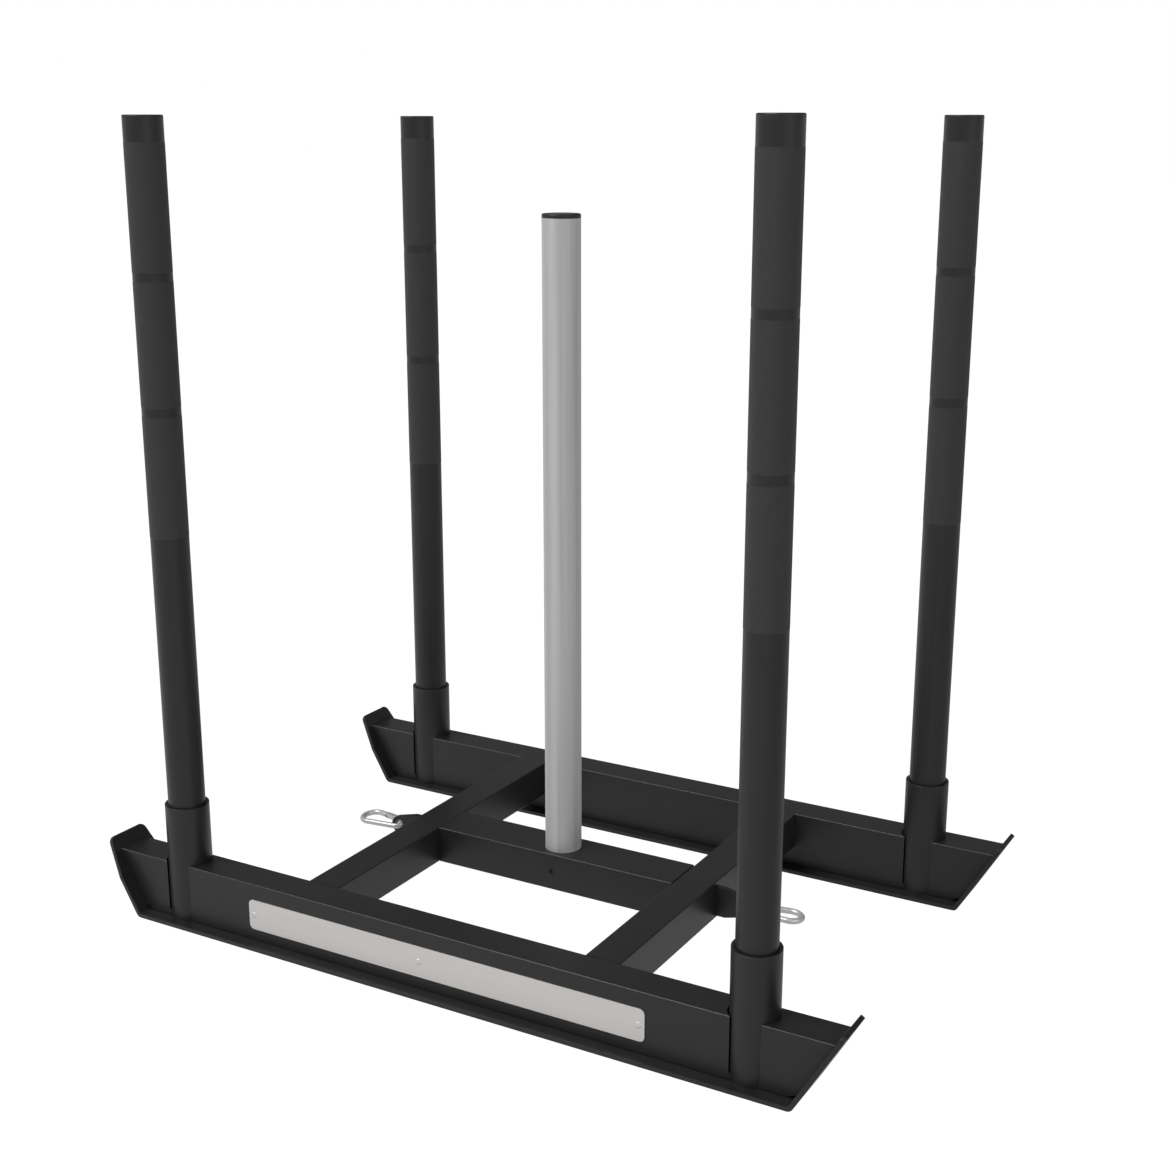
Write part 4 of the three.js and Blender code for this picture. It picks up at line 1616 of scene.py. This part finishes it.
        return piece

    def gate_pin(self) -> bpy.types.Object:
        """Shapes the gate's pin.

        Returns:
            The finished shape, on the gate's axes.
        """
        half = Vector((0, 0, self.gate_thickness / 2))
        piece = new_bar("pin_rivet", self.pin, -half, half, Roundness.WIRE)
        soften(piece, self.pin_edge)
        finish_surface(piece)
        return piece


@dataclass
class NamePlate:
    """The bare metal plate on the near rail, and the three rivets that hold it."""

    corner: float = 7 * MM
    edge: float = 0.25 * MM
    shank: float = 2 * MM
    head_height: float = 0.9 * MM
    dome_steps: int = 6

    def build(self, finishes: Finishes) -> None:
        """Shapes the plate and its rivets and dresses them.

        Args:
            finishes: The sled's finishes.
        """
        low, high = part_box("name_plate")
        piece = new_block("name_plate_sheet", low, high)
        edit(piece)
        pick(Part.EDGES, lambda at, along: abs(along.y) > SQUARE)
        bpy.ops.mesh.bevel(offset=self.corner, segments=Roundness.BEND, affect="EDGES")
        done()
        soften(piece, self.edge)
        finish_surface(piece)
        dress(piece, finishes.brushed)
        settle(piece, FRAME_BODY, "brushed_plate", "name_plate")
        first = "plate_rivet_left"
        rivets = {first: self.rivet(first, low.y)}
        dress(rivets[first], finishes.brushed)
        for node in ("plate_rivet_middle", "plate_rivet_right"):
            rivets[node] = copy_of(rivets[first], f"{node}_body", shift_between(first, node))
        for node, rivet in rivets.items():
            settle(rivet, FRAME_BODY, "brushed_plate", node)

    def rivet(self, node: str, face: float) -> bpy.types.Object:
        """Shapes a rivet with a domed head.

        Args:
            node: The node that it stands for.
            face: The Y of the plate's outer face.

        Returns:
            The finished shape.
        """
        low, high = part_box(node)
        head = (high.x - low.x) / 2
        length = high.y - face
        angles = [step / self.dome_steps * math.pi / 2 for step in range(self.dome_steps)]
        dome = [(head * math.cos(angle), self.head_height * math.sin(angle)) for angle in angles]
        shank = [(self.shank, -length), (self.shank, 0)]
        piece = turned(f"{node}_body", [*shank, *dome], Roundness.SMALL)
        middle = (low + high) / 2
        outward = Matrix.Rotation(math.pi / 2, 4, "X")
        set_place(piece, Matrix.Translation((middle.x, face, middle.z)) @ outward)
        finish_surface(piece)
        return piece


# Studio


@dataclass(frozen=True)
class Lamp:
    """A soft, distant lamp: its strength in watts per square metre, and its softness in degrees across."""

    name: str
    direction: tuple[float, float, float]
    strength: float
    softness: float

    def hang(self) -> None:
        """Adds the lamp to the scene, shining from its direction."""
        data = bpy.data.lights.new(self.name, "SUN")
        data.energy = self.strength
        data.angle = math.radians(self.softness)
        lamp = bpy.data.objects.new(self.name, data)
        lamp.rotation_euler = Vector(self.direction).to_track_quat("Z", "Y").to_euler()
        bpy.context.scene.collection.objects.link(lamp)


@dataclass(frozen=True)
class Studio:
    """The pale floor, a key lamp and a fill lamp, the white backdrop and the camera."""

    # The camera's angles are in degrees, and its lens and sensor in millimetres
    camera_place: tuple[float, float, float] = (1.1184, -1.8906, 1.0549)
    camera_tilt: float = 74.86
    camera_turn: float = 29.83
    lens: float = 52.62
    sensor: float = 36
    floor_size: float = 60
    floor_colour: str = "3c3c3c"
    # The floor and the backdrop as the camera sees them
    white: float = 1.0
    # The light that the floor throws, and the X + Y at which it begins and ends to fall off to the back right
    front_glow: float = 0.77
    back_glow: float = 0.44
    pool_start: float = -0.3
    pool_end: float = 1.1
    key: Lamp = Lamp("key_lamp", (-0.40, -0.46, 0.79), 3.3, 40)
    fill: Lamp = Lamp("fill_lamp", (0.80, -0.30, 0.52), 1.1, 60)
    # The light from overhead and from the horizon, and how high above that the horizon's has faded
    sky: float = 0.12
    horizon: float = 0.8
    horizon_top: float = 0.35

    def build(self) -> None:
        """Sets up the floor, the lamps, the backdrop and the camera."""
        self.floor()
        self.key.hang()
        self.fill.hang()
        self.backdrop()
        self.camera()

    def floor(self) -> None:
        """Lays the pale floor, which looks white all over and throws most of its light at the front left."""
        deselect()
        bpy.ops.mesh.primitive_plane_add(size=self.floor_size)
        floor = begun("studio_floor")
        material, tree = new_material("pale_studio_floor")
        place = add_node(tree, "TexCoord").outputs["Object"]
        split = add_node(tree, "SeparateXYZ", Vector=place)
        far_right = add_node(tree, "Math", {"operation": "ADD"}, in_0=split.outputs[0], in_1=split.outputs[1])
        pool = {"From_Min": self.pool_start, "From_Max": self.pool_end}
        pool |= {"To_Min": self.front_glow, "To_Max": self.back_glow}
        glow = add_node(tree, "MapRange", {"clamp": True}, Value=far_right.outputs[0], **pool).outputs[0]
        shader = add_node(
            tree,
            "BsdfPrincipled",
            Base_Color=linear(self.floor_colour),
            Roughness=1.0,
            Specular_IOR_Level=0.0,
            Emission_Color=(1, 1, 1, 1),
            Emission_Strength=self.seen_or(tree, self.white, glow),
        )
        add_node(tree, "OutputMaterial", Surface=shader.outputs[0])
        dress(floor, material)

    def seen_or(
        self, tree: bpy.types.NodeTree, seen: float, given: float | bpy.types.NodeSocket
    ) -> bpy.types.NodeSocket:
        """A brightness that is one value to the eye and another for the light that it gives.

        Args:
            tree: The floor's or the backdrop's node tree.
            seen: Its value where it is looked at.
            given: Its value where it lights the sled.

        Returns:
            The brightness.
        """
        looked_at = add_node(tree, "LightPath").outputs["Is Camera Ray"]
        return add_node(tree, "MapRange", Value=looked_at, To_Min=given, To_Max=seen).outputs[0]

    def backdrop(self) -> None:
        """Makes a white backdrop that gives a soft band of light along the horizon and little above."""
        world = bpy.data.worlds.new("studio_white")
        bpy.context.scene.world = world
        world.use_nodes = True
        tree = world.node_tree
        tree.nodes.clear()
        way = add_node(tree, "TexCoord").outputs["Generated"]
        height = add_node(tree, "SeparateXYZ", Vector=way).outputs["Z"]
        band = {"From_Min": 0.0, "From_Max": self.horizon_top, "To_Min": self.horizon, "To_Max": self.sky}
        glow = add_node(tree, "MapRange", {"clamp": True}, Value=height, **band).outputs[0]
        strength = self.seen_or(tree, self.white, glow)
        shader = add_node(tree, "Background", Color=(1, 1, 1, 1), Strength=strength)
        add_node(tree, "OutputWorld", Surface=shader.outputs[0])
        bpy.context.scene.view_settings.view_transform = "Standard"

    def camera(self) -> None:
        """Places the camera where the photograph was taken from."""
        data = bpy.data.cameras.new("photograph_camera")
        data.sensor_width = self.sensor
        data.lens = self.lens
        camera = bpy.data.objects.new("photograph_camera", data)
        camera.location = self.camera_place
        camera.rotation_euler = (math.radians(self.camera_tilt), 0, math.radians(self.camera_turn))
        bpy.context.scene.collection.objects.link(camera)
        bpy.context.scene.camera = camera


def main() -> None:
    """Builds the sled's looks and the studio, in order."""
    logging.basicConfig(level=logging.INFO, format="%(message)s")
    Studio().build()
    finishes = Finishes()
    BasePlates().build(finishes)
    Rails().build(finishes)
    Sockets().build(finishes)
    PushPoles().build(finishes)
    CrossFrame().build(finishes)
    WeightPost().build(finishes)
    SnapHooks().build(finishes)
    NamePlate().build(finishes)


if __name__ == "__main__":
    main()
